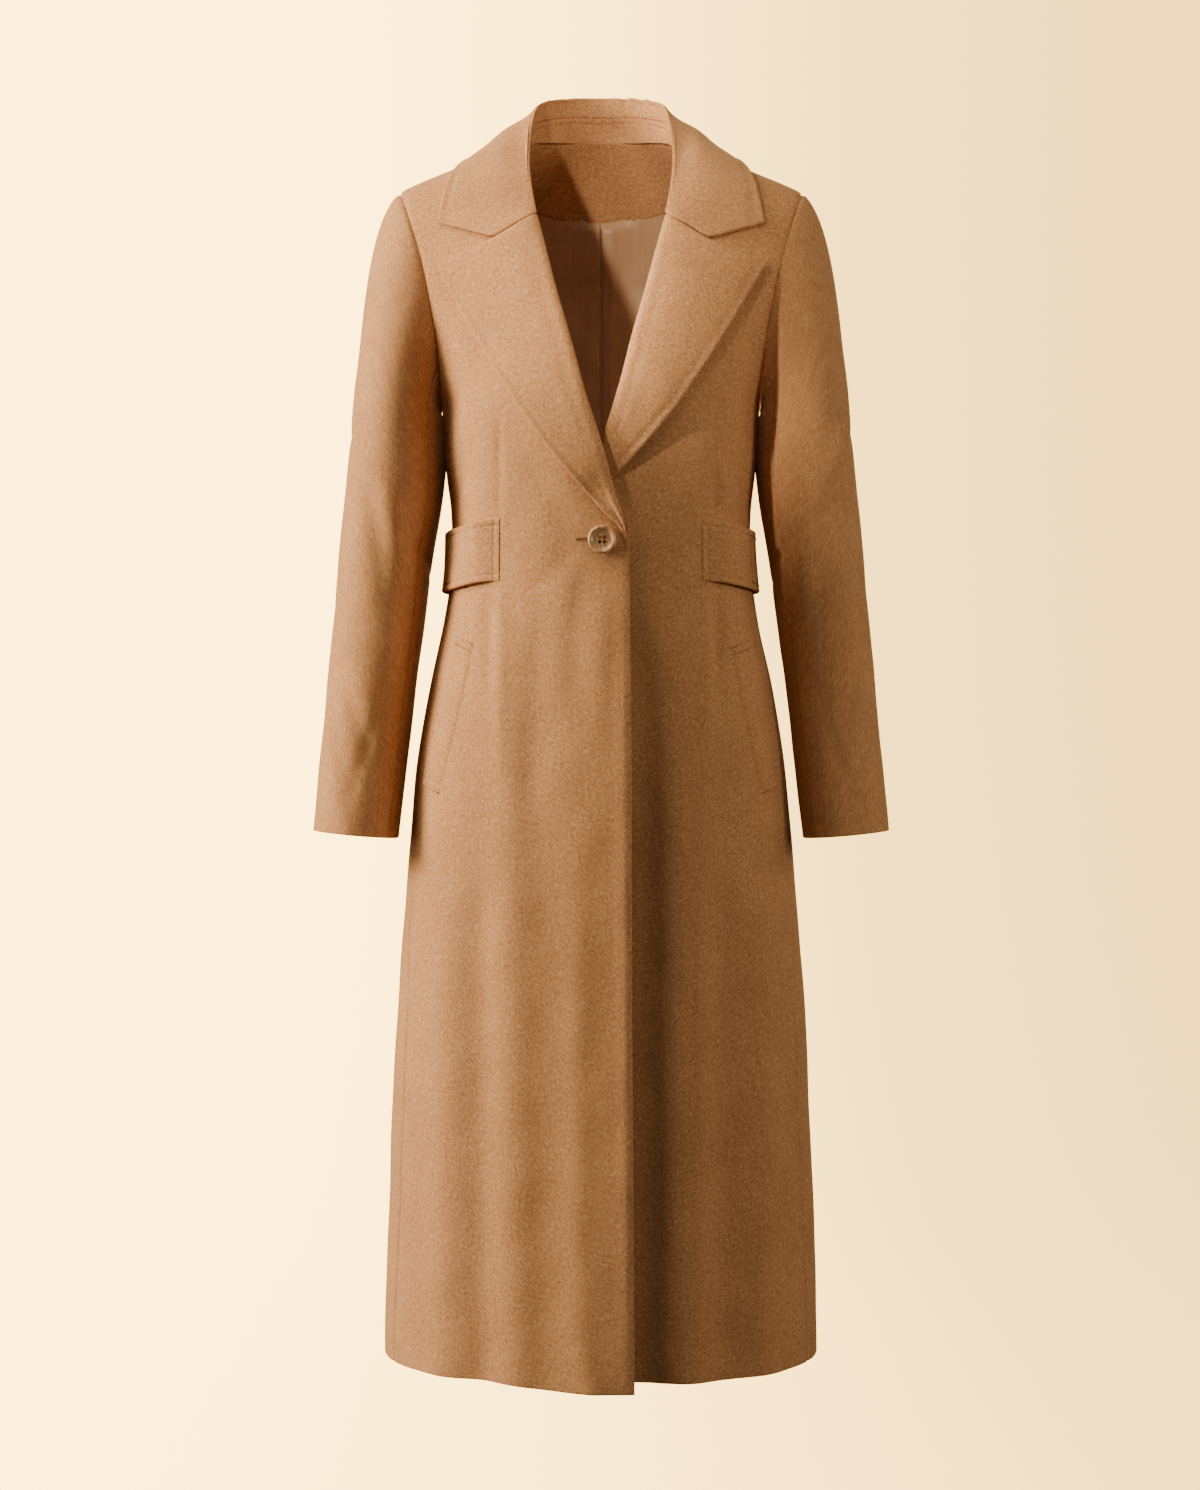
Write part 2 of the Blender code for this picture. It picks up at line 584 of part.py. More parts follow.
def sleeve_surface(way, angle):
    """way runs 0 to 1 over the sleeve head and 1 to 2 down the arm."""
    way, angle = np.broadcast_arrays(np.asarray(way, float), np.asarray(angle, float))
    start, tangent, normal = armhole(angle)
    under = np.sin(np.radians(angle) / 2)[..., None] ** 2
    start = start + SEAM * CAP_GAP * unit(tangent * (1 - under) + normal * under)
    end = arm_ring(angle, BICEP_LEVEL)
    turn = np.mod(angle, 360)
    fold = np.where(turn <= 180, turn, 360 - turn)
    fore = np.where(turn <= 180, -1, 1) * cap_read["fore"](fold)
    leave = np.stack([cap_read["out"](fold), fore, -cap_read["down"](fold)], axis=-1)
    reach = np.linalg.norm(end - start, axis=-1, keepdims=True)
    arrive = unit(arm_ring(angle, BICEP_LEVEL - 0.01) - end) * reach * CAP_PULL
    s = np.clip(way, 0, 1)[..., None]
    cap = start * (2 * s**3 - 3 * s**2 + 1) + end * (3 * s**2 - 2 * s**3)
    cap = cap + leave * (s**3 - 2 * s**2 + s) + arrive * (s**3 - s**2)
    level = BICEP_LEVEL + (CUFF_LEVEL - BICEP_LEVEL) * np.clip(way - 1, 0, 1.01)
    arm = arm_ring(angle, level)
    return np.where((way > 1)[..., None], arm, cap)


def sleeve_offset(side, points, angle):
    total = np.zeros(angle.shape)
    for row in SLEEVE_FOLDS:
        fold = dict(zip(SLEEVE_FOLD_COLUMNS, row))
        along = (points[..., 2] - fold["level"]) / fold["length"]
        centre = fold["angle"] - fold["tilt"] * along * (1.0 if side == RIGHT else LEFT_FOLD_SHARE)
        across = (np.mod(angle - centre + 180, 360) - 180) / fold["spread"]
        total = total + fold["height"] * np.exp(-(across**2) - along**2)
    return total


def sleeve_grid(side, way, angle):
    """Outer and inner points of a stretch of sleeve, in the coordinates of the +X side."""
    normals = -numeric_normals(sleeve_surface, way, angle)
    points = sleeve_surface(way, angle)
    ring_centre = np.stack(
        [
            sleeve_read["centre_x"](points[..., 2]),
            sleeve_read["centre_y"](points[..., 2]),
            points[..., 2],
        ],
        axis=-1,
    )
    facing = np.sum(normals * (points - ring_centre), axis=-1)
    if np.sum(facing[-1]) < 0:
        normals = -normals
    points = points + normals * (sleeve_offset(side, points, angle) * ease(way, *FOLD_GROWTH))[..., None]
    seam_normals = seam_normal(angle[0], normals[0], armhole(angle[0])[2])
    inward = normals.copy()
    inward[0] = seam_normals
    return points, points - inward * CLOTH


def seam_normal(angle, own, other):
    """The direction of a seam's rim: shared where the two walls run on, each wall's own where they part."""
    share = ease(np.sum(own * other, axis=-1), 0.0, RIM_BLEND)[..., None]
    return unit(own + other * share)


def sleeve_piece(name, side, first, last, count):
    """first and last are (angle at the armhole, angle at the cuff) of the piece's two seams."""
    ways = np.concatenate([np.linspace(0, 1, CAP_ROWS + 1), np.linspace(1, 2, ARM_ROWS + 1)[1:]])
    share = np.linspace(0, 1, count)
    top = first[0] + (last[0] - first[0]) * share
    cuff = first[1] + (last[1] - first[1]) * share
    gap = math.degrees(SEAM / 2 / ARM_RADIUS)
    inset = gap * (1 - 2 * share) * (np.abs(1 - 2 * share) > 0.999)
    blend = ease(ways, *SEAM_DRIFT)[:, None]
    angle = top[None, :] * (1 - blend) + cuff[None, :] * blend + inset[None, :]
    way = np.repeat(ways[:, None], count, axis=1)
    outer, inner = sleeve_grid(side, way, angle)
    return wall(name, to_side(outer, side), to_side(inner, side))


def sleeves():
    for side, word in ((RIGHT, "right"), (LEFT, "left")):
        upper_first = (BACK_SEAM[0] - 360, BACK_SEAM[1] - 360)
        upper_count = round((FRONT_SEAM[0] - upper_first[0]) / RING_STEP) + 1
        under_count = round((BACK_SEAM[0] - FRONT_SEAM[0]) / RING_STEP) + 1
        sleeve_piece("sleeve_upper_" + word, side, upper_first, FRONT_SEAM, upper_count)
        sleeve_piece("sleeve_under_" + word, side, FRONT_SEAM, BACK_SEAM, under_count)


# ---- fronts and backs ----


def panel_rows(first=0.0, last=2.0):
    """Rows of a panel between its lower and upper edge, the shared rows of all panels in between."""
    low = np.append(np.linspace(0, 1, LOW_ROWS), BACK_WAIST_ROW)
    shared = np.sort(np.concatenate([low, np.linspace(1, 2, YOKE_ROWS + 1)[1:-1]]))
    between = shared[(shared > first + ROW_STEP_LEAST) & (shared < last - ROW_STEP_LEAST)]
    return np.concatenate([[first], between, [min(last, 2 - SHOULDER_GAP)]])


def inner_angle(face, row):
    """Angle of a panel's inner edge on a row: the fold line or free edge, or the centre back seam."""
    if face == BACK:
        return angle_at(face, row, SEAM / 2)
    x = NECK_HALF_WIDTH
    for _ in range(8):
        level = bare(face, row, angle_at(face, row, x))[..., 2]
        x = edge_x(level) + edge_setback(level)
    return angle_at(face, row, x)


def panel_row(face, side, row, columns):
    width, _, edge = row_ring(face, row)
    start = inner_angle(face, row)
    end = edge - SEAM / 2 / width
    angles = start + (end - start) * np.linspace(0, 1, columns)
    return body(face, side, row, angles)


def armhole_aim(face, row, own):
    """The rim's direction where a panel meets the sleeve head."""
    turn = np.array([(2 - row) * 180 * (1 if face == FRONT else -1) % 360])
    way = np.array([2e-4])
    other = -numeric_normals(sleeve_surface, way, turn)
    if np.sum(other * (sleeve_surface(way, turn) - ARM_MIDDLE)) < 0:
        other = -other
    return seam_normal(turn, own[None, :], other)[0]


def panel(name, face, side, columns, rows):
    outer, inner = [], []
    for row in rows:
        points, normals = panel_row(face, side, row, columns)
        if row > 1:
            normals[-1] = armhole_aim(face, row, normals[-1])
        outer.append(points)
        inner.append(points - normals * CLOTH)
    wall(name, to_side(np.array(outer), side), to_side(np.array(inner), side))


# ---- collar ----

collar_read = {name: curve(COLLAR_COLUMNS, COLLAR, name) for name in COLLAR_COLUMNS[1:]}


def collar_point(kind, station):
    return np.array([float(collar_read[kind + "_" + axis](station)) for axis in "xyz"])


def over_shoulder(x, over, out):
    """A point off the body's surface by x and by the way over the shoulder seam."""
    face = BACK if over >= 0 else FRONT
    row = np.array([2 - abs(over)])
    side = RIGHT if face == FRONT else LEFT
    return body(face, side, row, angle_at(face, row, np.array([x])), out)[0][0]


def on_front(side, x, z, out):
    return body_at(FRONT, side, np.array([x]), np.array([z]), out)[0][0]


def collar_edge(station):
    x, over = (float(collar_read[name](station)) for name in ("edge_x", "edge_over"))
    return over_shoulder(x, over, COLLAR_OUT)


def gorge_line(side):
    """The collar's end: the gorge seam from the fold to the notch, then the free end edge to the point."""
    crest = collar_point("crest", LAST_STATION)
    edge = collar_edge(LAST_STATION)
    middle = on_front(side, GORGE_MIDDLE["x"], GORGE_MIDDLE["z"], GORGE_MIDDLE["out"])
    notch = on_front(side, GORGE_NOTCH["x"], GORGE_NOTCH["z"], GORGE_NOTCH["out"])
    return crest, middle, notch, edge


def smooth_path(points, count):
    """Evenly spaced points of a smooth curve through the given ones."""
    points = np.array(points)
    lengths = np.concatenate([[0], np.cumsum(np.linalg.norm(np.diff(points, axis=0), axis=1))])
    rows = [(length, *point) for length, point in zip(lengths, points)]
    names = ("length", "x", "y", "z")
    at = np.linspace(0, lengths[-1], count)
    return np.stack([curve(names, rows, name)(at) for name in names[1:]], axis=-1)


def collar_section(station):
    """From the stand's seam up the inside, over the roll and out to the edge."""
    seam = collar_point("seam", station)
    crest = collar_point("crest", station)
    if station == LAST_STATION:
        crest, middle, notch, edge = gorge_line(RIGHT)
        behind = (seam + crest) / 2
        far = (notch + edge) / 2
        near = crest + unit(middle - crest) * GORGE_TURN["along"] - np.array([0, GORGE_TURN["fore"], 0.0])
        inside = smooth_path([seam, behind, crest], 4)
        gorge = smooth_path([crest, near, middle, notch], 6)[1:]
        free = smooth_path([notch, far, edge], 5)[1:]
        return np.concatenate([inside, gorge, free])
    edge = collar_edge(station)
    away = unit(edge - crest)
    rise = unit(crest - seam)
    up = unit(rise - away * np.dot(rise, away))
    length = np.linalg.norm(edge - crest)
    bulge = float(collar_read["bulge"](station))
    near = crest + away * FALL["near"] + up * FALL["near_up"]
    first = crest + away * length * FALL["first"] + up * bulge
    second = crest + away * length * FALL["second"] + up * bulge * FALL["second"]
    inside = smooth_path([seam, seam + (crest - seam) * FALL["stand"], crest], 4)
    fall = smooth_path([crest, near, first, second, edge], 10)[1:]
    return np.concatenate([inside, fall])


def grid_normals(grid):
    along_u = np.gradient(grid, axis=0)
    along_v = np.gradient(grid, axis=1)
    return unit(np.cross(along_u, along_v))


def collar_stations():
    return np.linspace(0, LAST_STATION, (COLLAR_COLUMN_COUNT + 1) // 2)


def mirrored(grid):
    """A half grid from the centre back outwards, with its mirror image before it."""
    other = grid[:0:-1] * np.array([-1, 1, 1])
    return np.concatenate([other, grid])


def collar_grid(stations):
    grid = mirrored(np.array([collar_section(station) for station in stations]))
    normals = grid_normals(grid)
    if normals[len(grid) // 2, -3, 2] < 0:
        normals = -normals
    for end, side in ((0, RIGHT), (-1, LEFT)):
        if stations[-1] == LAST_STATION:
            gorge = to_side(grid[end, 4:], side)
            aims = body_at(FRONT, LEFT, gorge[:, 0], gorge[:, 2])[1]
            normals[end, 4:] = to_side(aims, side)
    return grid, normals


def collar():
    grid, normals = collar_grid(collar_stations())
    wall("collar", grid, grid - normals * COLLAR_THICK)


def neck_seam(station):
    """The neckline of the body under the collar."""
    turn = STAND_SEAM["turn"]  # the station at the shoulder seam
    if station <= turn:
        sweep = math.sin(math.pi / 2 * station / turn)
        row = np.array([STAND_SEAM["row"]])
        point = body(BACK, LEFT, row, angle_at(BACK, row, np.array([NECK_HALF_WIDTH * sweep])))[0][0]
        return point + np.array([-STAND_SEAM["inset"] * sweep, 0, STAND_SEAM["lift"]])
    level = STAND_SEAM["top"] - STAND_SEAM["drop"] * (station / turn - 1)
    x = float(edge_x(level) + edge_setback(level))
    return on_front(RIGHT, x, level, 0.0) + np.array([-STAND_SEAM["inset"], 0, STAND_SEAM["lift"]])


def collar_stand():
    stations = [station for station in collar_stations() if station <= STAND_END + 1e-6]
    grid = []
    for station in stations:
        base = neck_seam(station)
        seam = collar_point("seam", station)
        gap = unit(base - seam) * SEAM * 1.5
        shares = np.linspace(0, 1, 4)[:, None]
        grid.append((seam + gap) * (1 - shares) + base * shares)
    grid = mirrored(np.array(grid))
    normals = grid_normals(grid)
    if normals[len(grid) // 2, 1, 1] > 0:
        normals = -normals
    normals[:, 0] = collar_grid(stations)[1][:, 0]
    wall("collar_stand", grid, grid - normals * CLOTH)


# ---- lapels ----


def lapel(name, side, table):
    rows = [dict(zip(LAPEL_COLUMNS, row)) for row in table]
    top_x = curve(LAPEL_TOP_COLUMNS, LAPEL_TOP, "x")
    top_z = curve(LAPEL_TOP_COLUMNS, LAPEL_TOP, "z")
    straight = {name: curve(LAPEL_COLUMNS, table, name) for name in LAPEL_COLUMNS[1:]}
    gorge = collar_section(LAST_STATION)[3:9]
    stations = np.linspace(0, rows[-1]["row"], len(rows) + 1)
    xs, zs, outs = [], [], []
    for station in stations:
        fold = np.array([float(straight["fold_x"](station)), float(straight["fold_z"](station))])
        edge = np.array([float(straight["outer_x"](station)), float(straight["outer_z"](station))])
        width = np.linalg.norm(edge - fold)
        small = min(1.0, width / LAPEL_FULL_WIDTH)
        tight = float(ease(FULL_SETBACK - edge_setback(fold[1]), 0.0, SETBACK_EASE))
        least = (LAPEL_THICK + LAPEL_FOLD_CLEAR) * tight - LAPEL_TUCK * (1 - tight)
        row_x, row_z, row_out = [], [], []
        for reach, out in LAPEL_ROLL:
            share = min(reach * small / width, 0.9)
            point = fold + (edge - fold) * share
            row_x.append(point[0])
            row_z.append(point[1])
            row_out.append(max(out * small, least))
        for share in LAPEL_SHARES:
            point = fold + (edge - fold) * share
            if station < 0.5:
                point = np.array([float(top_x(share)), float(top_z(share))])
            rest = LAPEL_REST + (LAPEL_EDGE_OUT - LAPEL_REST) * ease(share, 0.25, 1.0)
            row_x.append(point[0])
            row_z.append(point[1])
            row_out.append(max(rest * small, LAPEL_THICK + LAPEL_CLEAR))
        xs.append(row_x)
        zs.append(row_z)
        outs.append(row_out)
    grid, body_normals = body_at(FRONT, side, np.array(xs), np.array(zs), np.array(outs))
    normals = grid_normals(grid)
    if np.sum(normals[:, -3:] * body_normals[:, -3:]) < 0:
        normals = -normals
    normals[0, 4:] = body_normals[0, 4:]
    for spot in grid[0, 2:]:
        if spot[0] < gorge[-1][0]:
            spot[1] = np.interp(spot[0], gorge[:, 0], gorge[:, 1])
            spot[2] = np.interp(spot[0], gorge[:, 0], gorge[:, 2]) - LAPEL_TOP_GAP
    wall(name, to_side(grid, side), to_side(grid - normals * LAPEL_THICK, side))


# ---- belt, pockets, facing, lining, button ----


def half_belt():
    """One band from the right front dart round the back to the left front dart."""
    halves = []
    for side in (RIGHT, LEFT):
        grid, inner = [], []
        for column in range(BELT_COLUMNS + 1):
            share = column / BELT_COLUMNS  # 0 at the centre back, 1 at the front end
            line, line_inner = [], []
            for step in range(BELT_ROWS + 1):
                level = BELT["top"] + (BELT["bottom"] - BELT["top"]) * step / BELT_ROWS
                row = (level - HEM_LEVEL) / (UNDERARM_LEVEL - HEM_LEVEL)
                front_end = float(angle_at(FRONT, row, BELT["end_x"]))
                turn = math.pi * (1 - share) + front_end * share
                face = FRONT if turn < math.pi / 2 else BACK
                angle = turn if face == FRONT else math.pi - turn
                level -= BELT["side_drop"] * math.sin(turn) ** 2
                row = (level - HEM_LEVEL) / (UNDERARM_LEVEL - HEM_LEVEL)
                rise = float(ease(1 - share, 0.0, BELT["end_share"]))
                out = BELT["end_out"] + (BELT["side_out"] - BELT["end_out"]) * rise
                point, normal = body(face, side, row, angle, out)
                line.append(point)
                line_inner.append(point - normal * BELT["thick"])
            grid.append(line)
            inner.append(line_inner)
        halves.append((to_side(np.array(grid), side), to_side(np.array(inner), side)))
    (right, right_inner), (left, left_inner) = halves
    wall(
        "half_belt",
        np.concatenate([right[:0:-1], left]),
        np.concatenate([right_inner[:0:-1], left_inner]),
    )


def pocket_welt(name, side):
    size = WELTS[side]
    down = np.linspace(0, 1, 8)[:, None]
    across = np.linspace(0, 1, 4)[None, :]
    x = size["top_x"] + (size["bottom_x"] - size["top_x"]) * down**WELT_BEND + WELT_WIDTH * across
    z = size["top"] + (size["bottom"] - size["top"]) * down + size["rise"] * across
    grid, normals = body_at(FRONT, side, x, z, WELT_OUT)
    wall(name, to_side(grid, side), to_side(grid - normals * WELT_THICK, side))


def facing_edge(x):
    return BACK_FACING["bottom"] + BACK_FACING["side_lift"] * (x / NECK_HALF_WIDTH) ** 2


def back_neck_facing():
    half = []
    for column in range(FACING_COLUMNS + 1):
        share = column / FACING_COLUMNS
        line = []
        for step in range(FACING_ROWS + 1):
            way = step / FACING_ROWS
            width = BACK_FACING["top_half"] + (BACK_FACING["bottom_half"] - BACK_FACING["top_half"]) * way
            x = max(share * width, 1e-5)
            low = float(facing_edge(x))
            top = float(shoulder_level(x)) - FACING_TOP_GAP
            line.append((x, top + (low - top) * way))
        half.append(line)
    half = np.array(half)
    outer, normals = body_at(BACK, LEFT, half[..., 0], half[..., 1], -CLOTH - FACING_GAP)
    inner = outer - normals * LINING
    wall("back_neck_facing", mirrored_flat(outer), mirrored_flat(inner))


def mirrored_flat(grid):
    middle = grid[:1].copy()
    middle[..., 0] = 0.0
    grid = np.concatenate([middle, grid[1:]])
    return mirrored(grid)


def back_lining():
    """The back panels' own points moved in, from the facing's lower edge to just above the hem."""
    halves = []
    for side in (RIGHT, LEFT):
        rows = [row for row in panel_rows() if LINING_FIRST_ROW < row < LINING_LAST_ROW]
        grid, aims = [], []
        for row in rows:
            points, normals = panel_row(BACK, side, row, BACK_COLUMNS)
            grid.append(points)
            aims.append(normals)
        top_x = np.linspace(0, BACK_FACING["bottom_half"], BACK_COLUMNS)
        top_z = facing_edge(top_x) - LINING_EDGE_GAP
        top, top_normals = body_at(BACK, side, top_x, top_z)
        for share in (0.5, 1.0):
            grid.append(grid[len(rows) - 1] * (1 - share) + top * share)
            aims.append(unit(aims[len(rows) - 1] * (1 - share) + top_normals * share))
        grid, aims = np.array(grid), np.array(aims)
        extra = np.array(PLEAT_SHARES)[None, :, None]
        near = grid[:, :1] * (1 - extra) + grid[:, 1:2] * extra
        near_aims = np.repeat(aims[:, :1], len(PLEAT_SHARES), axis=1)
        last = grid[:, -2:-1] * LINING_SIDE_SHARE + grid[:, -1:] * (1 - LINING_SIDE_SHARE)
        grid = np.concatenate([near, grid[:, 1:-1], last], axis=1)
        aims = np.concatenate([near_aims, aims[:, 1:]], axis=1)
        stand_off = np.linspace(0, 1, len(grid))[:, None, None] ** 4
        hidden = grid - aims * (CLOTH + LINING_GAP + stand_off * LINING_TOP_GAP)
        pleat = PLEAT["depth"] * np.exp(-((grid[..., 0] / PLEAT["half_width"]) ** 2))
        pleat = pleat * ease(grid[..., 2], HEM_LEVEL, PLEAT["end"])
        shown = hidden - aims * (LINING + pleat)[..., None]
        halves.append((to_side(hidden, side), to_side(shown, side)))
    (right, right_shown), (left, left_shown) = halves
    outer = np.concatenate([right[:, :0:-1], left], axis=1)
    inner = np.concatenate([right_shown[:, :0:-1], left_shown], axis=1)
    wall("back_lining", outer, inner, "tan_satin")


def button():
    """A dished four-hole button on the upper front."""
    centre, normal = body_at(FRONT, RIGHT, np.array([BUTTON["x"]]), np.array([BUTTON["level"]]))
    centre, normal = to_side(centre[0], RIGHT), unit(to_side(normal[0], RIGHT))
    thick = BUTTON["thick"]
    profile = [(reach * BUTTON["radius"], level * thick) for reach, level in BUTTON_PROFILE]
    points = [(0.0, 0.0, profile[0][1])]
    for reach, level in profile[1:-1]:
        for step in range(BUTTON_SIDES):
            turn = 2 * math.pi * step / BUTTON_SIDES
            points.append((reach * math.cos(turn), reach * math.sin(turn), level))
    points.append((0.0, 0.0, profile[-1][1]))
    faces = []
    rings = len(profile) - 2
    last = len(points) - 1
    top = 1 + (rings - 1) * BUTTON_SIDES
    for step in range(BUTTON_SIDES):
        after = (step + 1) % BUTTON_SIDES
        faces.append((0, 1 + after, 1 + step))
        for ring in range(rings - 1):
            low = 1 + ring * BUTTON_SIDES
            high = low + BUTTON_SIDES
            faces.append((low + step, low + after, high + after, high + step))
        faces.append((top + step, top + after, last))
    up = unit(np.array([0.0, 0.0, 1.0]) - normal * normal[2])
    frame = np.stack([np.cross(up, normal), up, normal])
    seat = centre + normal * BUTTON["seat"]
    made = solid("button", seat + np.array(points) @ frame, faces, "horn")
    sides = BUTTON_HOLES["sides"]
    for step in range(BUTTON_HOLES["count"]):
        turn = 2 * math.pi * (step + 0.5) / BUTTON_HOLES["count"]
        place = np.array([math.cos(turn), math.sin(turn), 0.0]) * BUTTON_HOLES["reach"]
        rim = []
        for level in (-thick, 2 * thick):
            for corner in range(sides):
                angle = 2 * math.pi * corner / sides
                spot = np.array([math.cos(angle), math.sin(angle), 0.0]) * BUTTON_HOLES["radius"]
                rim.append(place + spot + np.array([0.0, 0.0, level]))
        walls = [(c, (c + 1) % sides, sides + (c + 1) % sides, sides + c) for c in range(sides)]
        caps = [tuple(range(sides - 1, -1, -1)), tuple(range(sides, 2 * sides))]
        cutter = solid(f"button_hole_{step + 1}", seat + np.array(rim) @ frame, walls + caps, "horn")
        cutter.hide_render = True
        cut = made.modifiers.new(f"hole_{step + 1}", "BOOLEAN")
        cut.operation = "DIFFERENCE"
        cut.object = cutter


def main():
    for old in list(bpy.data.objects):
        bpy.data.objects.remove(old, do_unlink=True)
    half_seam = SEAM / 2 / (UNDERARM_LEVEL - HEM_LEVEL)
    upper_rows = panel_rows(first=BACK_WAIST_ROW + half_seam)
    skirt_rows = panel_rows(last=BACK_WAIST_ROW - half_seam)
    for side, word in ((RIGHT, "right"), (LEFT, "left")):
        panel("front_" + word, FRONT, side, FRONT_COLUMNS, panel_rows())
        panel("back_" + word, BACK, side, BACK_COLUMNS, upper_rows)
        panel("back_skirt_" + word, BACK, side, BACK_COLUMNS, skirt_rows)
    sleeves()
    collar()
    collar_stand()
    lapel("lapel_right", RIGHT, RIGHT_LAPEL)
    lapel("lapel_left", LEFT, LEFT_LAPEL)
    half_belt()
    pocket_welt("pocket_welt_right", RIGHT)
    pocket_welt("pocket_welt_left", LEFT)
    back_neck_facing()
    back_lining()
    button()


main()
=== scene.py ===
# A long camel wool coat, single-breasted, filled out as it is worn and hollow inside.
# Metres, but the tables of rows are in millimetres. X is the wearer's left, the front faces -Y, +Z is up,
# and the origin is between the shoulder neck points.
# Each cloth piece is a grid of points on its outer face, worked out from the same sizes as the solids,
# and a second grid moved in by the cloth's thickness, with rounded edges.

import math

import bpy
import numpy as np
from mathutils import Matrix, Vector


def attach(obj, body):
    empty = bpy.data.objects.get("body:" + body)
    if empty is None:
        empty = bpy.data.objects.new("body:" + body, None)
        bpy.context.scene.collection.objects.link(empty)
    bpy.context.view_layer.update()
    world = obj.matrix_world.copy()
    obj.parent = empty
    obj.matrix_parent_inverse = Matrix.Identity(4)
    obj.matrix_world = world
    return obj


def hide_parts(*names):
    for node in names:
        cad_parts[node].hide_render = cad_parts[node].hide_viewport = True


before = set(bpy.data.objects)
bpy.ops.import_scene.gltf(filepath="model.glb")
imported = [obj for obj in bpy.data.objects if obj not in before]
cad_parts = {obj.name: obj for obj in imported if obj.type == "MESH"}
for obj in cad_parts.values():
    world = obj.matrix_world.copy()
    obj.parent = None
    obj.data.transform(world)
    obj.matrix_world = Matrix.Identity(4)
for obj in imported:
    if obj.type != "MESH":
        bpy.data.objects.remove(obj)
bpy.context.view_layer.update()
print("frame loaded:", len(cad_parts), "nodes")

right, left = -1, 1  # the wearer's sides
front, back = -1, 1  # the sign of Y
pairs = ((right, "Right", "right"), (left, "Left", "left"))


def between(s, a, b, leave, arrive):  # from a to b as s goes from 0 to 1, with the slopes at both ends
    level = a * (2 * s**3 - 3 * s**2 + 1) + b * (3 * s**2 - 2 * s**3)
    return level + leave * (s**3 - 2 * s**2 + s) + arrive * (s**3 - s**2)


def hermite(keys, values):  # a smooth curve through a few values
    keys, values = np.array(keys, float), np.array(values, float)
    slopes = np.gradient(values, keys)

    def read(at):
        at = np.clip(np.asarray(at, float), keys[0], keys[-1])
        low = np.clip(np.searchsorted(keys, at, side="right") - 1, 0, len(keys) - 2)
        span = keys[low + 1] - keys[low]
        s = (at - keys[low]) / span
        return between(s, values[low], values[low + 1], span * slopes[low], span * slopes[low + 1])

    return read


def readers(columns, rows, plain=()):  # a curve for each column, read by the first; millimetres unless plain
    table = np.array(sorted(rows)) / [1 if name in plain else 1000 for name in columns]
    return {name: hermite(table[:, 0], table[:, i]) for i, name in enumerate(columns) if i}


def ease(at, start, end):
    s = np.clip((np.asarray(at, float) - start) / (end - start), 0, 1)
    return s * s * (3 - 2 * s)


def unit(vectors):
    return vectors / np.linalg.norm(vectors, axis=-1, keepdims=True)


def power(base, exponent):
    return np.sign(base) * np.abs(base) ** exponent


def toSide(points, side):
    return points * np.array([side, 1, 1])


# shares from 0 to 1, with extra lines close to each end and beside each channel of stitches
def closeSet(length, count, edges=(1, 1), channels=()):
    near = [0.0, 0.00035, 0.0008, 0.0014, 0.0024, 0.004]
    near += [middle + step for middle in channels for step in (-0.001, -0.0005, 0.0, 0.0005, 0.001)]
    first = max(0.0062, near[-1] + 0.0014)
    inner = np.linspace(first if edges[0] else 0.0, length - (first if edges[1] else 0.0), count)
    low = near if edges[0] else []
    high = [length - d for d in reversed(near)] if edges[1] else []
    return np.concatenate([low, inner, high]) / length


def refine(grid, rowAt, columnAt):  # a smooth finer grid through a coarse one, by share along each way
    def along(points, at):  # first axis; slopes weigh the length of each step, so uneven steps leave no kink
        places = at * (len(points) - 1)
        low = np.clip(places.astype(int), 0, len(points) - 2)
        s = (places - low)[:, None, None]
        steps = np.sqrt(np.linalg.norm(np.diff(points, axis=0), axis=-1, keepdims=True)) + 1e-6
        rates = np.diff(points, axis=0) / steps
        inner = (rates[:-1] * steps[1:] + rates[1:] * steps[:-1]) / (steps[:-1] + steps[1:])
        slopes = np.concatenate([rates[:1], inner, rates[-1:]])
        span = steps[low]
        return between(s, points[low], points[low + 1], span * slopes[low], span * slopes[low + 1])

    return along(along(grid, rowAt).transpose(1, 0, 2), columnAt).transpose(1, 0, 2)


def soften(grid, passes, keep=8):  # evens a grid across its columns, away from its two edges
    for _ in range(passes):
        beside = grid[:, keep - 1 : -keep - 1] + grid[:, keep + 1 : 1 - keep]
        grid[:, keep:-keep] = grid[:, keep:-keep] * 0.5 + beside * 0.25
    return grid


def gridNormals(grid):
    return unit(np.cross(np.gradient(grid, axis=0), np.gradient(grid, axis=1)))


def runs(grid, axis):  # length along the grid from its first row or column
    steps = np.linalg.norm(np.diff(grid, axis=axis), axis=-1)
    return np.insert(np.cumsum(steps, axis=axis), 0, 0.0, axis=axis)


def hill(distance, width):
    return np.exp(-((distance / width) ** 2))


def smoothPath(points, count):
    points = np.array(points)
    lengths = runs(points, 0)
    at = np.linspace(0, lengths[-1], count)
    return np.stack([hermite(lengths, points[:, i])(at) for i in range(3)], axis=-1)


def addMesh(name, points, edges, faces, finish=None):
    mesh = bpy.data.meshes.new(name)
    mesh.from_pydata(np.asarray(points).tolist(), edges, faces)
    if finish:
        mesh.materials.append(finish)
    made = bpy.data.objects.new(name, mesh)
    bpy.context.scene.collection.objects.link(made)
    return made


# slow unevenness of the cloth, a few centimetres to a hand wide: its height and its seed
uneven = {
    "body": (0.0007, 11),
    "sleeve": (0.0006, 31),
    "collar": (0.0006, 5),
    "lapel": (0.0005, 71),
    "belt": (0.0007, 91),
    "facing": (0.0005, 41),
    "lining": (0.0016, 51),
}


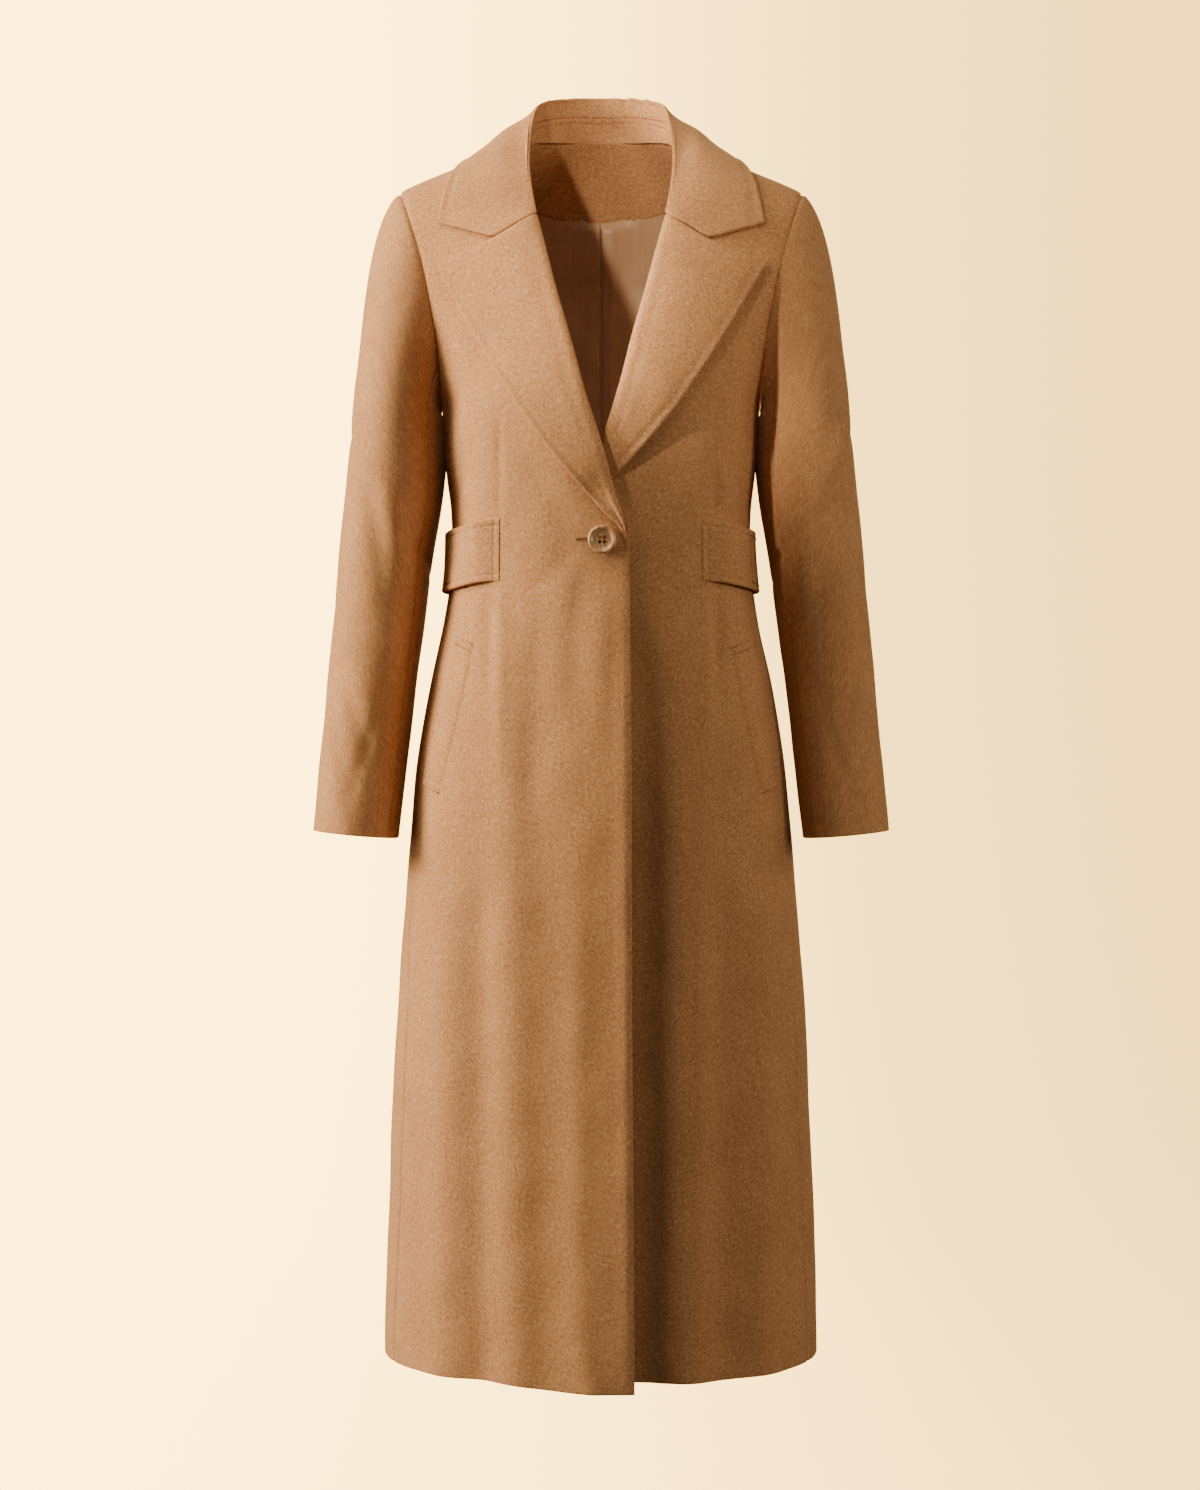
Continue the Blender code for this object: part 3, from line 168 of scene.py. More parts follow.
def ripple(x, z, part, turn=0):
    size, seed = uneven[part]
    rng = np.random.default_rng(seed + turn)
    waves = (0.19, 0.12, 0.075, 0.048)
    total = 0.0
    for wave in waves:
        tilt, phase = rng.uniform(-0.6, 0.6), rng.uniform(0, 6.28)
        beat = np.sin(z / wave * 2.6 + 2 * phase)
        total = total + wave * np.sin((x + tilt * z) / wave * 6.28 + phase) * beat
    return size * total / waves[0]


def linear(code):  # sRGB hex to the linear colour that a socket takes
    parts = [int(code[i : i + 2], 16) / 255 for i in (1, 3, 5)]
    return (*[c / 12.92 if c <= 0.04045 else ((c + 0.055) / 1.055) ** 2.4 for c in parts], 1.0)


# settings: properties or inputs; links: input to output socket; stops: the places and colours of a ramp
def setNode(tree, node, settings=None, links=None, stops=()):
    for name, value in (settings or {}).items():
        if isinstance(name, str) and hasattr(node, name):
            setattr(node, name, value)
        else:
            node.inputs[name].default_value = value
    for name, source in (links or {}).items():
        tree.links.new(source, node.inputs[name])
    if stops:  # a ramp starts with two
        marks = node.color_ramp.elements
        for mark, (place, colour) in zip(marks, (stops[0], stops[-1])):
            mark.position, mark.color = place, colour
        for place, colour in stops[1:-1]:
            marks.new(place).color = colour
    return node


def addNode(tree, kind, *parts):
    return setNode(tree, tree.nodes.new(kind), *parts)


def newMaterial(name):
    made = bpy.data.materials.new(name)
    made.use_nodes = True
    return made, made.node_tree, made.node_tree.nodes["Principled BSDF"]


# Brushed and felted camel coloured coating wool: milled until the weave closes, then raised.
# It gives a soft matt face with a fine slanting grain of short fibres and paler tips at grazing light.
woolLook = {
    "base": "#C89265",
    "deep": "#A06C41",
    "tip": "#E8BB8C",
    "sheen": "#E8C39A",
    "fibreLength": 0.0042,
    "fibreWidth": 0.0011,  # real fibres are 0.02 mm wide; drawn as coarse as the tufts that show
    "clump": 0.0019,
    "patch": 0.055,
    "slant": -38.0,
    "fibreShare": 0.62,  # the rest of the grain is clumps
    "napDepth": 0.00055,
    "roughness": 0.93,
}


def makeWool(name, look):
    made, tree, shader = newMaterial(name)
    uv = addNode(tree, "ShaderNodeUVMap", {"uv_map": "grain"}).outputs["UV"]
    place = addNode(tree, "ShaderNodeTexCoord").outputs["Object"]
    slant = {"Rotation": (0, 0, math.radians(look["slant"]))}
    turned = addNode(tree, "ShaderNodeMapping", slant, {"Vector": uv}).outputs[0]
    fine = {"Scale": (1 / look["fibreWidth"], 1 / look["fibreLength"], 1)}
    stretched = addNode(tree, "ShaderNodeMapping", fine, {"Vector": turned}).outputs[0]
    fibres, clumps, patches = (
        addNode(tree, "ShaderNodeTexNoise", settings, {"Vector": spot}).outputs[0]
        for spot, settings in (
            (stretched, {"Scale": 1.0, "Detail": 3.0, "Roughness": 0.6, "Distortion": 0.6}),
            (place, {"Scale": 1 / look["clump"], "Detail": 4.0, "Roughness": 0.65}),
            (place, {"Scale": 1 / look["patch"], "Detail": 3.0, "Roughness": 0.5}),
        )
    )
    less = {"operation": "MULTIPLY", 1: 1 - look["fibreShare"]}
    rest = addNode(tree, "ShaderNodeMath", less, {0: clumps}).outputs[0]
    more = {"operation": "MULTIPLY_ADD", 1: look["fibreShare"]}
    grain = addNode(tree, "ShaderNodeMath", more, {0: fibres, 2: rest}).outputs[0]
    tones = ((0.33, linear(look["deep"])), (0.5, linear(look["base"])), (0.67, linear(look["tip"])))
    colour = addNode(tree, "ShaderNodeValToRGB", {}, {0: grain}, tones).outputs[0]
    greys = ((0.3, (0.93, 0.92, 0.91, 1)), (0.7, (1.04, 1.04, 1.04, 1)))  # worn a little darker in patches
    shade = addNode(tree, "ShaderNodeValToRGB", {}, {0: patches}, greys).outputs[0]
    multiply = {"data_type": "RGBA", "blend_type": "MULTIPLY", "Factor": 1.0}
    toned = addNode(tree, "ShaderNodeMix", multiply, {6: colour, 7: shade}).outputs[2]
    raised = {"Strength": 0.8, "Distance": look["napDepth"]}
    nap = addNode(tree, "ShaderNodeBump", raised, {"Height": grain}).outputs[0]
    values = {
        "Roughness": look["roughness"],
        "IOR": 1.45,
        "Specular IOR Level": 0.25,
        "Sheen Weight": 0.35,
        "Sheen Roughness": 0.45,
        "Sheen Tint": linear(look["sheen"]),
    }
    setNode(tree, shader, values, {"Base Color": toned, "Normal": nap})
    return made


# Acetate satin: long smooth floats, soft streaky shine, a little browner than the wool.
satinLook = {"base": "#CBA381", "deep": "#C49C7A", "streak": 0.0034, "length": 0.12, "roughness": 0.45}


def makeSatin(name, look):
    made, tree, shader = newMaterial(name)
    place = addNode(tree, "ShaderNodeTexCoord").outputs["Object"]
    long = {"Scale": (1 / look["streak"], 0.0, 1 / look["length"])}
    stretched = addNode(tree, "ShaderNodeMapping", long, {"Vector": place}).outputs[0]
    soft = {"Scale": 1.0, "Detail": 2.0, "Roughness": 0.5}
    streaks = addNode(tree, "ShaderNodeTexNoise", soft, {"Vector": stretched}).outputs[0]
    tones = ((0.3, linear(look["deep"])), (0.7, linear(look["base"])))
    colour = addNode(tree, "ShaderNodeValToRGB", {}, {0: streaks}, tones).outputs[0]
    raised = {"Strength": 0.08, "Distance": 0.0002}
    bump = addNode(tree, "ShaderNodeBump", raised, {"Height": streaks}).outputs[0]
    values = {"Roughness": look["roughness"], "Anisotropic": 0.4, "Sheen Weight": 0.15}
    setNode(tree, shader, values, {"Base Color": colour, "Normal": bump})
    return made


# Polished horn: cloudy layers of tan and cream under a soft gloss, a little light passes through.
hornLook = {"dark": "#8E623F", "mid": "#B4875F", "pale": "#DDB388", "cloud": 0.011, "roughness": 0.36}


def makeHorn(name, look):
    made, tree, shader = newMaterial(name)
    place = addNode(tree, "ShaderNodeTexCoord").outputs["Object"]
    fine = 1 / look["cloud"]
    layers = {"Scale": (fine, fine, 0.45 * fine), "Rotation": (0, 0.7, 0)}
    stretched = addNode(tree, "ShaderNodeMapping", layers, {"Vector": place}).outputs[0]
    cloudy = {"Scale": 1.0, "Detail": 5.0, "Roughness": 0.6, "Distortion": 1.4}
    clouds = addNode(tree, "ShaderNodeTexNoise", cloudy, {"Vector": stretched}).outputs[0]
    shades = (linear(look[tone]) for tone in ("dark", "mid", "pale", "mid"))
    tones = tuple(zip((0.32, 0.47, 0.56, 0.7), shades))
    colour = addNode(tree, "ShaderNodeValToRGB", {}, {0: clouds}, tones).outputs[0]
    values = {
        "Roughness": look["roughness"],
        "IOR": 1.54,
        "Coat Weight": 0.15,
        "Coat Roughness": 0.2,
        "Subsurface Weight": 0.12,
        "Subsurface Scale": 0.002,
    }
    setNode(tree, shader, values, {"Base Color": colour})
    return made


# Spun polyester sewing thread: two plies with a faint twist, a little shinier than the wool.
threadLook = {"base": "#A67649", "deep": "#7A5231", "ply": 0.0006, "roughness": 0.6}


def makeThread(name, look):
    made, tree, shader = newMaterial(name)
    place = addNode(tree, "ShaderNodeTexCoord").outputs["Object"]
    plies = {"Scale": 1 / look["ply"], "Detail": 1.0}
    twist = addNode(tree, "ShaderNodeTexNoise", plies, {"Vector": place}).outputs[0]
    tones = ((0.35, linear(look["deep"])), (0.6, linear(look["base"])))
    colour = addNode(tree, "ShaderNodeValToRGB", {}, {0: twist}, tones).outputs[0]
    setNode(tree, shader, {"Roughness": look["roughness"]}, {"Base Color": colour})
    return made


camelWool = makeWool("camelCoatingWool", woolLook)
satin = makeSatin("acetateSatin", satinLook)
horn = makeHorn("polishedHorn", hornLook)
thread = makeThread("sewingThread", threadLook)
print("materials made")

# thicknesses, the gap at a seam, and how wide and how deep a cut edge is rounded
cloth = {"wool": 0.0025, "satin": 0.0012, "seam": 0.00004, "round": 0.0013, "curl": 0.42}
# how the cloth dips beside its seams: distance from the seam, depth, width
seamDips = {
    "body": (0.0, 0.001, 0.003),
    "shoulder": (0.0, 0.0008, 0.003),
    "sleeve": (0.0, 0.0009, 0.0028),
    "stand": (0.0, 0.0006, 0.003),
}
cuts = {}  # what each piece measures flat


# rounding: width of the rounded edge; lift 0: the hidden side isn't rounded, as where it is sewn down;
# grooves: edge, distance from it, depth, width, where edges 0 and 1 are the first and last column and
# edges 2 and 3 the first and last row; lay: where the nap's slant is read, otherwise on the flat cut
def clothPiece(name, outer, normals, thick, finish, grooves=(), rounding=cloth["round"], lift=1.0, lay=None):
    thick = np.broadcast_to(thick, outer.shape[:2])
    across, down = runs(outer, 1), runs(outer, 0)
    edges = np.stack([across, across[:, -1:] - across, down, down[-1:] - down])
    reach = np.clip(edges.min(axis=0) / rounding, 0, 1)
    curl = (1 - np.sqrt(1 - (1 - reach) ** 2)) * thick * cloth["curl"]  # the edge turns over as a half circle
    shift = -curl
    for which, distance, depth, width in grooves:
        shift = shift - depth * hill(edges[which] - distance, width)
    shown = outer + normals * shift[..., None]
    hidden = outer - normals * (thick - curl * lift)[..., None]
    rows, columns = outer.shape[:2]
    size = rows * columns
    index = np.arange(size).reshape(rows, columns)
    faces = np.stack([index[:-1, :-1], index[:-1, 1:], index[1:, 1:], index[1:, :-1]], axis=-1).reshape(-1, 4)
    rim = np.concatenate([index[0, :], index[1:, -1], index[-1, -2::-1], index[-2:0:-1, 0]])
    after = np.roll(rim, -1)
    sides = np.stack([after, rim, rim + size, after + size], axis=-1)
    faces = np.concatenate([faces, faces[:, ::-1] + size, sides])
    points = np.concatenate([shown.reshape(-1, 3), hidden.reshape(-1, 3)])
    middle = faces[size // 2]
    turn = np.cross(points[middle[1]] - points[middle[0]], points[middle[3]] - points[middle[0]])
    if np.dot(turn, normals.reshape(-1, 3)[middle[0]]) < 0:
        faces = faces[:, ::-1]
    made = addMesh(name, points, [], faces.tolist(), finish)
    mesh = made.data
    grain = mesh.uv_layers.new(name="grain")
    spot = np.stack([across - across.mean(), -down], axis=-1) if lay is None else lay
    spot = np.tile(spot.reshape(-1, 2), (2, 1))
    loops = np.empty(len(mesh.loops), int)
    mesh.loops.foreach_get("vertex_index", loops)
    grain.data.foreach_set("uv", spot[loops].ravel())
    mesh.shade_smooth()
    cells = outer[1:, 1:] - outer[:-1, :-1], outer[1:, :-1] - outer[:-1, 1:]
    area = float(np.linalg.norm(np.cross(*cells), axis=2).sum() / 2)
    cuts[name] = {"flat": (float(across.max()), float(down.max())), "area": area}
    return made


def sew(piece, slotName, held, restsOn, *nodes):
    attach(piece, "root")
    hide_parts(*nodes)


bodySizes = {
    "hem": -1.2045,
    "underarm": -0.265,
    "hemDip": 0.0015,  # lower at the centre front
    "squareness": 2.15,
    "neckHalf": 0.079,
    "shoulderStart": 0.07,
    "shoulderDrop": 0.05,
    "shoulderBend": 1.15,
    "chestBend": 1.3,
    "bladeBend": 1.6,
    "neckDepth": 0.0725,
    "neckRise": 0.017,
    "neckWidth": 0.062,
    "neckWidthLow": 0.13,
}
armholeSizes = {"topX": 0.201, "bottomX": 0.1585, "front": 0.058, "back": 0.066, "scoop": 0.0065, "bend": 1.1}

# level rings from the hem to the underarm; the side seam is an angle from the centre front
ringAt = readers(
    ("level", "halfWidth", "frontDepth", "backDepth", "sideSeam"),
    (
        (-1202, 215.5, 152, 135, 70),
        (-1117, 213.5, 150, 134, 69),
        (-957, 208, 145, 132, 68),
        (-837, 201, 141, 130, 70),
        (-757, 195.5, 139, 129, 74),
        (-677, 189, 136, 128, 79),
        (-597, 180, 132, 126, 83),
        (-537, 170, 128, 122, 85),
        (-477, 157, 122, 113, 87),
        (-437, 151, 118, 104, 88),
        (-385, 149, 116, 99, 89),
        (-332, 154, 118, 103, 90),
        (-265, 158.5, 120, 112, 90),
    ),
    plain=("sideSeam",),
)
ringDepth = {front: ringAt["frontDepth"], back: ringAt["backDepth"]}
spineDepth = hermite(
    (0.0, 0.25, 0.5, 0.7, 0.85, 0.95, 1.0),
    (0.112, 0.1165, 0.116, 0.1045, 0.0895, 0.0785, 0.0725),
)

# the lapel's fold line and, below the button, the free front edge
edgeAt = readers(
    ("level", "x", "setback"),
    (
        (-1215, -31, 0),
        (-900, -29, 0),
        (-500, -27.4, 0),
        (-434, -26.8, 0),
        (-412, -25.8, 0),
        (-395, -23.4, 1),
        (-374, -17.6, 3),
        (-351, -11, 5),
        (-309, 0, 6),
        (-273.5, 11.8, 6),
        (-219, 26, 6),
        (-188.6, 34.5, 6),
        (-153.7, 44.2, 6),
        (-133.2, 49.1, 6),
        (-107, 56.1, 6),
        (-85.3, 61.4, 6),
        (-64, 66, 6),
        (-42, 69.5, 6),
        (-20, 71.5, 6.5),
        (20, 72.5, 6.5),
    ),
)
overlap = {
    "fade": 0.095,
    "swingFrom": -0.062,
    "swingTo": 0.042,
    "hangFrom": 0.026,
    "hangTo": 0.084,
    "hemDrop": 0.0065,
    "hemWidth": 0.13,
}
overlapAt = readers(
    # swing: how far the free edge stands forward; hang: how far the under front falls back behind it
    ("level", "lift", "sink", "swing", "hang"),
    (
        (-1215, 7, 6, 3, 8),
        (-900, 5, 5, 4.8, 8),
        (-700, 4, 4.4, 7, 7.4),
        (-600, 3.5, 4, 7.4, 6.8),
        (-530, 3.2, 3.6, 6, 5),
        (-470, 2.8, 3.2, 2.6, 2.8),
        (-430, 2.2, 2.8, 0.4, 0.8),
        (-406, 2, 2.5, 0, 0),
        (-385, 3, 3.5, 0, 0),
        (-340, 4.5, 5, 0, 0),
        (-300, 3.5, 4.5, 0, 0),
        (-240, 0, 1, 0, 0),
        (-180, 0, 0, 0, 0),
    ),
)

# long soft folds of each panel, where the solids have them: x and level of the two ends, half width, height
folds = {
    (front, right): (
        (92, -440, 78, -1300, 19, 3),
        (54, -440, 50, -1300, 17, -1.2),
        (118, -640, 113, -1300, 17, -4.2),
        (152, -700, 152, -1300, 16, 3),
    ),
    (front, left): (
        (94, -440, 86, -1300, 17, 3.6),
        (42, -470, 44, -1300, 18, -2),
        (112, -600, 120, -1300, 18, -2.2),
        (158, -700, 160, -1300, 16, 3.4),
    ),
    (back, right): (
        (48, -430, 58, -1300, 20, 5),
        (84, -430, 100, -1300, 18, -5),
        (122, -520, 142, -1300, 18, 4.5),
    ),
    (back, left): (
        (56, -430, 66, -1300, 20, 4.5),
        (94, -430, 108, -1300, 18, -5),
        (128, -520, 148, -1300, 18, 4.5),
    ),
}
foldFade = 0.16

creaseEnds = (-0.12, 0.25)  # shares of its length over which a crease rises

# shorter creases of each panel: x and level of the two ends, bow, half width, height
creases = {
    (front, right): (
        (98.5, -285, 99.5, -384, 0, 2.8, -1.6),  # dart above the belt
        (110, -450, 105, -545, 1, 6.5, -2.4),  # the darts' fullness below it
        (96.5, -446, 95, -620, 1, 6.5, 1.8),
        (16, -430, 25, -560, 4, 10, -1.4),  # slack under the button
        (-4, -445, 4, -600, 0, 9, 1),
        (120, -300, 142, -372, 4, 9, -1.6),
        (75, -330, 30, -395, -6, 11, -1.4),  # pull lines to the button
        (72, -455, 26, -412, 6, 11, -1.2),
        (20, -700, 18, -1220, 3, 12, 1.6),
        (55, -470, 68, -700, 4, 13, -1.4),
        (158, -190, 146, -290, -10, 9, -1.8),  # by the armhole
        (20, -1160, 4, -1215, 0, 9, 1.6),  # the corner curls a little
        (-20, -430, -23.5, -1215, 0, 5, 1.2),  # the facing's turned edge
    ),
    (front, left): (
        (111, -335, 109, -386, 2, 4.2, -2.4),
        (113.5, -446, 112.5, -535, -1, 6, -3.6),
        (101.5, -446, 101, -600, -1, 6, 2),
        (122, -310, 140, -375, 3, 9, -1.8),
        (75, -340, 35, -400, -5, 11, -1.4),
        (16, -640, 14, -1220, -3, 13, -1.6),
        (66, -560, 62, -1220, 4, 12, 1.6),
        (160, -185, 147, -300, -11, 9, -2),
    ),
    (back, right): (
        (150, -180, 140, -300, -10, 10, -2.2),
        (30, -355, 110, -375, 6, 8, -1.4),  # above the belt
        (20, -620, 22, -1220, 3, 12, 1.4),
    ),
    (back, left): (
        (152, -185, 141, -300, -11, 10, -2),
        (30, -350, 115, -378, 5, 8, -1.6),
        (26, -640, 28, -1220, -4, 12, -1.6),
    ),
}


def neckBump(x, width):
    return 1 / (1 + (np.abs(x) / width) ** 3)


def shoulderLevel(x):
    size = bodySizes
    reach = armholeSizes["topX"] - size["shoulderStart"]
    ramp = np.clip((np.abs(x) - size["shoulderStart"]) / reach, 0, None)
    drop = size["shoulderDrop"] * ramp ** size["shoulderBend"]
    return size["neckRise"] * neckBump(x, size["neckWidth"]) - drop


def shoulderY(x):
    return bodySizes["neckDepth"] * neckBump(x, bodySizes["neckWidth"])


def yokeRing(face, height):  # (half width, depth, edge angle) between the underarm, 0, and the shoulder, 1
    height = np.clip(height, 0, 1 - 1e-7)
    bend = bodySizes["chestBend" if face == front else "bladeBend"]
    depth = float(ringDepth[face](bodySizes["underarm"])) * np.sqrt(1 - height**bend)
    edgeY = armholeSizes["front" if face == front else "back"] * 2 * np.sqrt(height * (1 - height))
    climb = (armholeSizes["topX"] - armholeSizes["bottomX"]) * height ** armholeSizes["bend"]
    edge = armholeSizes["bottomX"] + climb - armholeSizes["scoop"] * 4 * height * (1 - height)
    cosine = (edgeY / depth) ** (bodySizes["squareness"] / 2)
    return edge / (1 - cosine**2) ** (1 / bodySizes["squareness"]), depth, np.arccos(cosine)


def rowHeight(row):  # rows 0 to 1 climb from hem to underarm, 1 to 2 to the shoulder
    return np.sin(np.clip(np.asarray(row, float) - 1, 0, 1) * math.pi / 2) ** 2


def rowLevel(row):
    return bodySizes["hem"] + (bodySizes["underarm"] - bodySizes["hem"]) * np.clip(row, 0, 1)


def rowRing(face, row):
    level = rowLevel(row)
    yoke = yokeRing(face, rowHeight(row))
    seam = np.radians(ringAt["sideSeam"](level))
    low = (ringAt["halfWidth"](level), ringDepth[face](level), seam if face == front else math.pi - seam)
    above = np.asarray(row) > 1
    return tuple(np.where(above, a, b) for a, b in zip(yoke, low))


def angleAt(face, row, x):
    return np.arcsin(power(np.clip(x / rowRing(face, row)[0], -1, 1), bodySizes["squareness"] / 2))


def bare(face, row, angle):
    row, angle = np.broadcast_arrays(np.asarray(row, float), np.asarray(angle, float))
    width, depth, _ = rowRing(face, row)
    height = rowHeight(row)
    x = width * power(np.sin(angle), 2 / bodySizes["squareness"])
    out = depth * power(np.cos(angle), 2 / bodySizes["squareness"])
    if face == front:
        y = -out + shoulderY(x) * height**3
    else:
        wide = bodySizes["neckWidthLow"]
        spread = wide + (bodySizes["neckWidth"] - wide) * ease(height, 0.25, 1.0)
        out = np.where(np.cos(angle) < 0, out * rowRing(front, row)[1] / depth, out)
        y = out + neckBump(x, spread) * (spineDepth(height) - depth) * (row > 1)
    ahead = np.clip(np.cos(angle) * (1 if face == front else -1), 0, 1)
    dip = bodySizes["hemDip"] * (1 - np.clip(row, 0, 1)) ** 3 * ahead
    top = bodySizes["underarm"] * (1 - height) + shoulderLevel(x) * height
    return np.stack([x, y, np.where(row > 1, top, rowLevel(row) - dip)], axis=-1)


def standOff(face, side, x, z):
    total = np.zeros(np.broadcast(x, z).shape)
    size = overlap
    if face == front:
        near = 1 - ease(x, 0.0, size["fade"])
        if side == left:
            fall = overlapAt["hang"](z) * (1 - ease(x, size["hangFrom"], size["hangTo"]))
            total = total - near * overlapAt["sink"](z) - fall
        else:
            lean = overlapAt["swing"](z) * (1 - ease(x, size["swingFrom"], size["swingTo"]))
            total = total + near * overlapAt["lift"](z) + lean
    for topX, top, bottomX, bottom, width, height in np.array(folds[face, side]) / 1000:
        line = topX + (bottomX - topX) * (z - top) / (bottom - top)
        total = total + height * ease(top - z, 0.0, foldFade) * hill(x - line, width)
    for x0, z0, x1, z1, bow, width, height in np.array(creases[face, side]) / 1000:
        run = np.array([x1 - x0, z1 - z0])
        length = np.linalg.norm(run)
        run = run / length
        along = ((x - x0) * run[0] + (z - z0) * run[1]) / length
        across = (x - x0) * run[1] - (z - z0) * run[0] + bow * 4 * along * (1 - along)
        ends = ease(along, *creaseEnds) * ease(1 - along, *creaseEnds)
        total = total + height * ends * hill(across, width)
    settled = ease(x, 0.0, 0.02) if face == back else 1.0  # nothing steps at a seam
    return total + ripple(x, z, "body", 3 * side) * settled


def surfaceNormals(surface, u, v, step=1e-4, top=None):
    high = u + step if top is None else np.minimum(u + step, top)
    along, across = surface(high, v) - surface(u - step, v), surface(u, v + step) - surface(u, v - step)
    return unit(np.cross(along, across))


def onBody(face, side, row, angle, out=0.0):
    row, angle = np.broadcast_arrays(np.asarray(row, float), np.asarray(angle, float))
    points = bare(face, row, angle)
    normals = surfaceNormals(lambda u, v: bare(face, u, v), row, angle, top=2.0) * face
    points = points + normals * (standOff(face, side, points[..., 0], points[..., 2]) + out)[..., None]
    if face == front and side == right:
        corner = ease(overlap["hemWidth"] - points[..., 0], 0.0, overlap["hemWidth"])
        points[..., 2] -= overlap["hemDrop"] * corner * (1 - np.clip(row, 0, 1)) ** 3
    return points, normals


def bodyAt(face, side, x, z, out=0.0):
    x, z = np.broadcast_arrays(np.asarray(x, float), np.asarray(z, float))
    under, hem = bodySizes["underarm"], bodySizes["hem"]
    height = np.clip((z - under) / (shoulderLevel(x) - under), 0, 1)
    row = np.where(height > 0, 1 + np.arcsin(np.sqrt(height)) * 2 / math.pi, (z - hem) / (under - hem))
    return onBody(face, side, row, angleAt(face, row, x), out)


panelSizes = {
    "lowRows": 150,
    "lowLength": 0.937,
    "yokeRows": 56,
    "yokeLength": 0.215,
    "width": 0.22,
    "columns": {front: 52, back: 48},
    "shoulderGap": 0.0016,
    "backWaist": 0.84,  # share of the way from the hem to the underarm
    "skirtLength": 0.785,
    "waistRows": 24,
    "waistLength": 0.16,
}


def panelRows():
    size = panelSizes
    low = closeSet(size["lowLength"], size["lowRows"], (1, 0))
    yoke = closeSet(size["yokeLength"], size["yokeRows"], (0, 1))[1:]
    return np.concatenate([low, 1 + yoke * (1 - size["shoulderGap"])])


def innerAngle(face, row):
    if face == back:
        return angleAt(face, row, cloth["seam"] / 2)
    x = np.full(row.shape, bodySizes["neckHalf"])
    for _ in range(8):
        level = bare(face, row, angleAt(face, row, x))[..., 2]
        x = edgeAt["x"](level) + edgeAt["setback"](level)
    return angleAt(face, row, x)


def panelGrid(face, side, rows, shares):
    width, _, edge = rowRing(face, rows)
    start = innerAngle(face, rows)[:, None]
    end = (edge - cloth["seam"] / 2 / width)[:, None]
    return onBody(face, side, rows[:, None], start + (end - start) * shares[None, :])


def panelStretches():  # name, node, rows of the grid; the back has a waist seam under the half belt
    size, rows = panelSizes, panelRows()
    waist = size["backWaist"]
    gap = cloth["seam"] / 2 / (bodySizes["underarm"] - bodySizes["hem"])
    skirt = waist * closeSet(size["skirtLength"], round(size["lowRows"] * waist)) - gap
    skirt[0] = 0.0
    low = closeSet(size["waistLength"], size["waistRows"], (1, 0))[:-1]
    upper = np.concatenate([waist + gap + low * (1 - waist), rows[rows >= 1]])
    return (
        (front, "front", "front_", rows),
        (back, "back", "back_", upper),
        (back, "backSkirt", "back_skirt_", skirt),
    )


def makePanels():
    for side, word, node in pairs:
        for face, name, kind, rows in panelStretches():
            shares = closeSet(panelSizes["width"], panelSizes["columns"][face])
            points, normals = toSide(np.array(panelGrid(face, side, rows, shares)), side)
            dips = [(1, *seamDips["body"])]
            if name != "backSkirt":
                dips.append((3, *seamDips["shoulder"]))
            if face == back:
                dips.append((0, *seamDips["body"]))
            piece = clothPiece(name + word, points, normals, cloth["wool"], camelWool, dips, lift=0.0)
            sew(piece, "camel_wool", "hung", ["collarStand"], kind + node)


makePanels()
print("fronts and backs made")

sleeveSizes = {
    "bicep": -0.285,
    "cuff": -0.69,
    "tilt": 0.092,
    "capPull": 1.15,
    "tuckIn": 0.0022,
    "tuckShare": 0.04,  # of the head, over which it is tucked into the armhole
    "capRows": 34,
    "capLength": 0.15,
    "armRows": 90,
    "armLength": 0.4,
    # name, node, columns, width, degrees at the head and at the cuff where each seam lies
    "pieces": (
        ("sleeveUpper", "sleeve_upper_", 58, 0.22, (-120.0, -122.0), (135.0, 146.0)),
        ("sleeveUnder", "sleeve_under_", 28, 0.08, (135.0, 146.0), (240.0, 238.0)),
    ),
    "seamRadius": 0.05,  # turns the seam gap into degrees
}
armAt = readers(
    ("level", "x", "y", "halfWidth", "halfDepth"),
    (
        (-690, 242.5, -30, 42, 48),
        (-657, 239.3, -24.5, 42.6, 49),
        (-577, 231.5, -13, 43.6, 52.5),
        (-497, 223.8, -5.5, 45.2, 56.5),
        (-417, 215.5, -1.5, 46.8, 60.5),
        (-337, 205.5, 1, 48.5, 64.5),
        (-285, 204, 2, 44.8, 66),
    ),
)
capAt = readers(
    ("angle", "out", "fore", "down"),
    (
        (0, 102, 0, 80),
        (45, 82, 18, 90),
        (90, 50, 22, 90),
        (135, 20, 8, 60),
        (180, 4, 0, 20),
    ),
    plain=("angle",),
)
# soft folds of the sleeve: angle, level, tilt, height, spread in degrees, length; the rest in millimetres
sleeveFolds = (
    (62, -330, 60, 3.6, 16, 90),
    (86, -400, 40, -4.5, 15, 110),
    (112, -470, 20, 3.4, 15, 90),
    (182, -308, 0, 4.6, 42, 30),  # the cloth crowds between the arm and the side
    (184, -266, 0, 8.2, 40, 26),
    (70, -560, 50, -3, 14, 80),
    (48, -610, 30, 2.4, 12, 70),
    (290, -380, 40, 3, 18, 110),
    (262, -440, 60, -3, 16, 90),
    (40, -560, 25, -1.4, 11, 80),
    (100, -600, -20, -1.4, 10, 60),
    (18, -300, 70, -1.4, 9, 60),
    (320, -520, -40, -1.6, 12, 70),
    (130, -405, 90, -1.8, 9, 45),
)


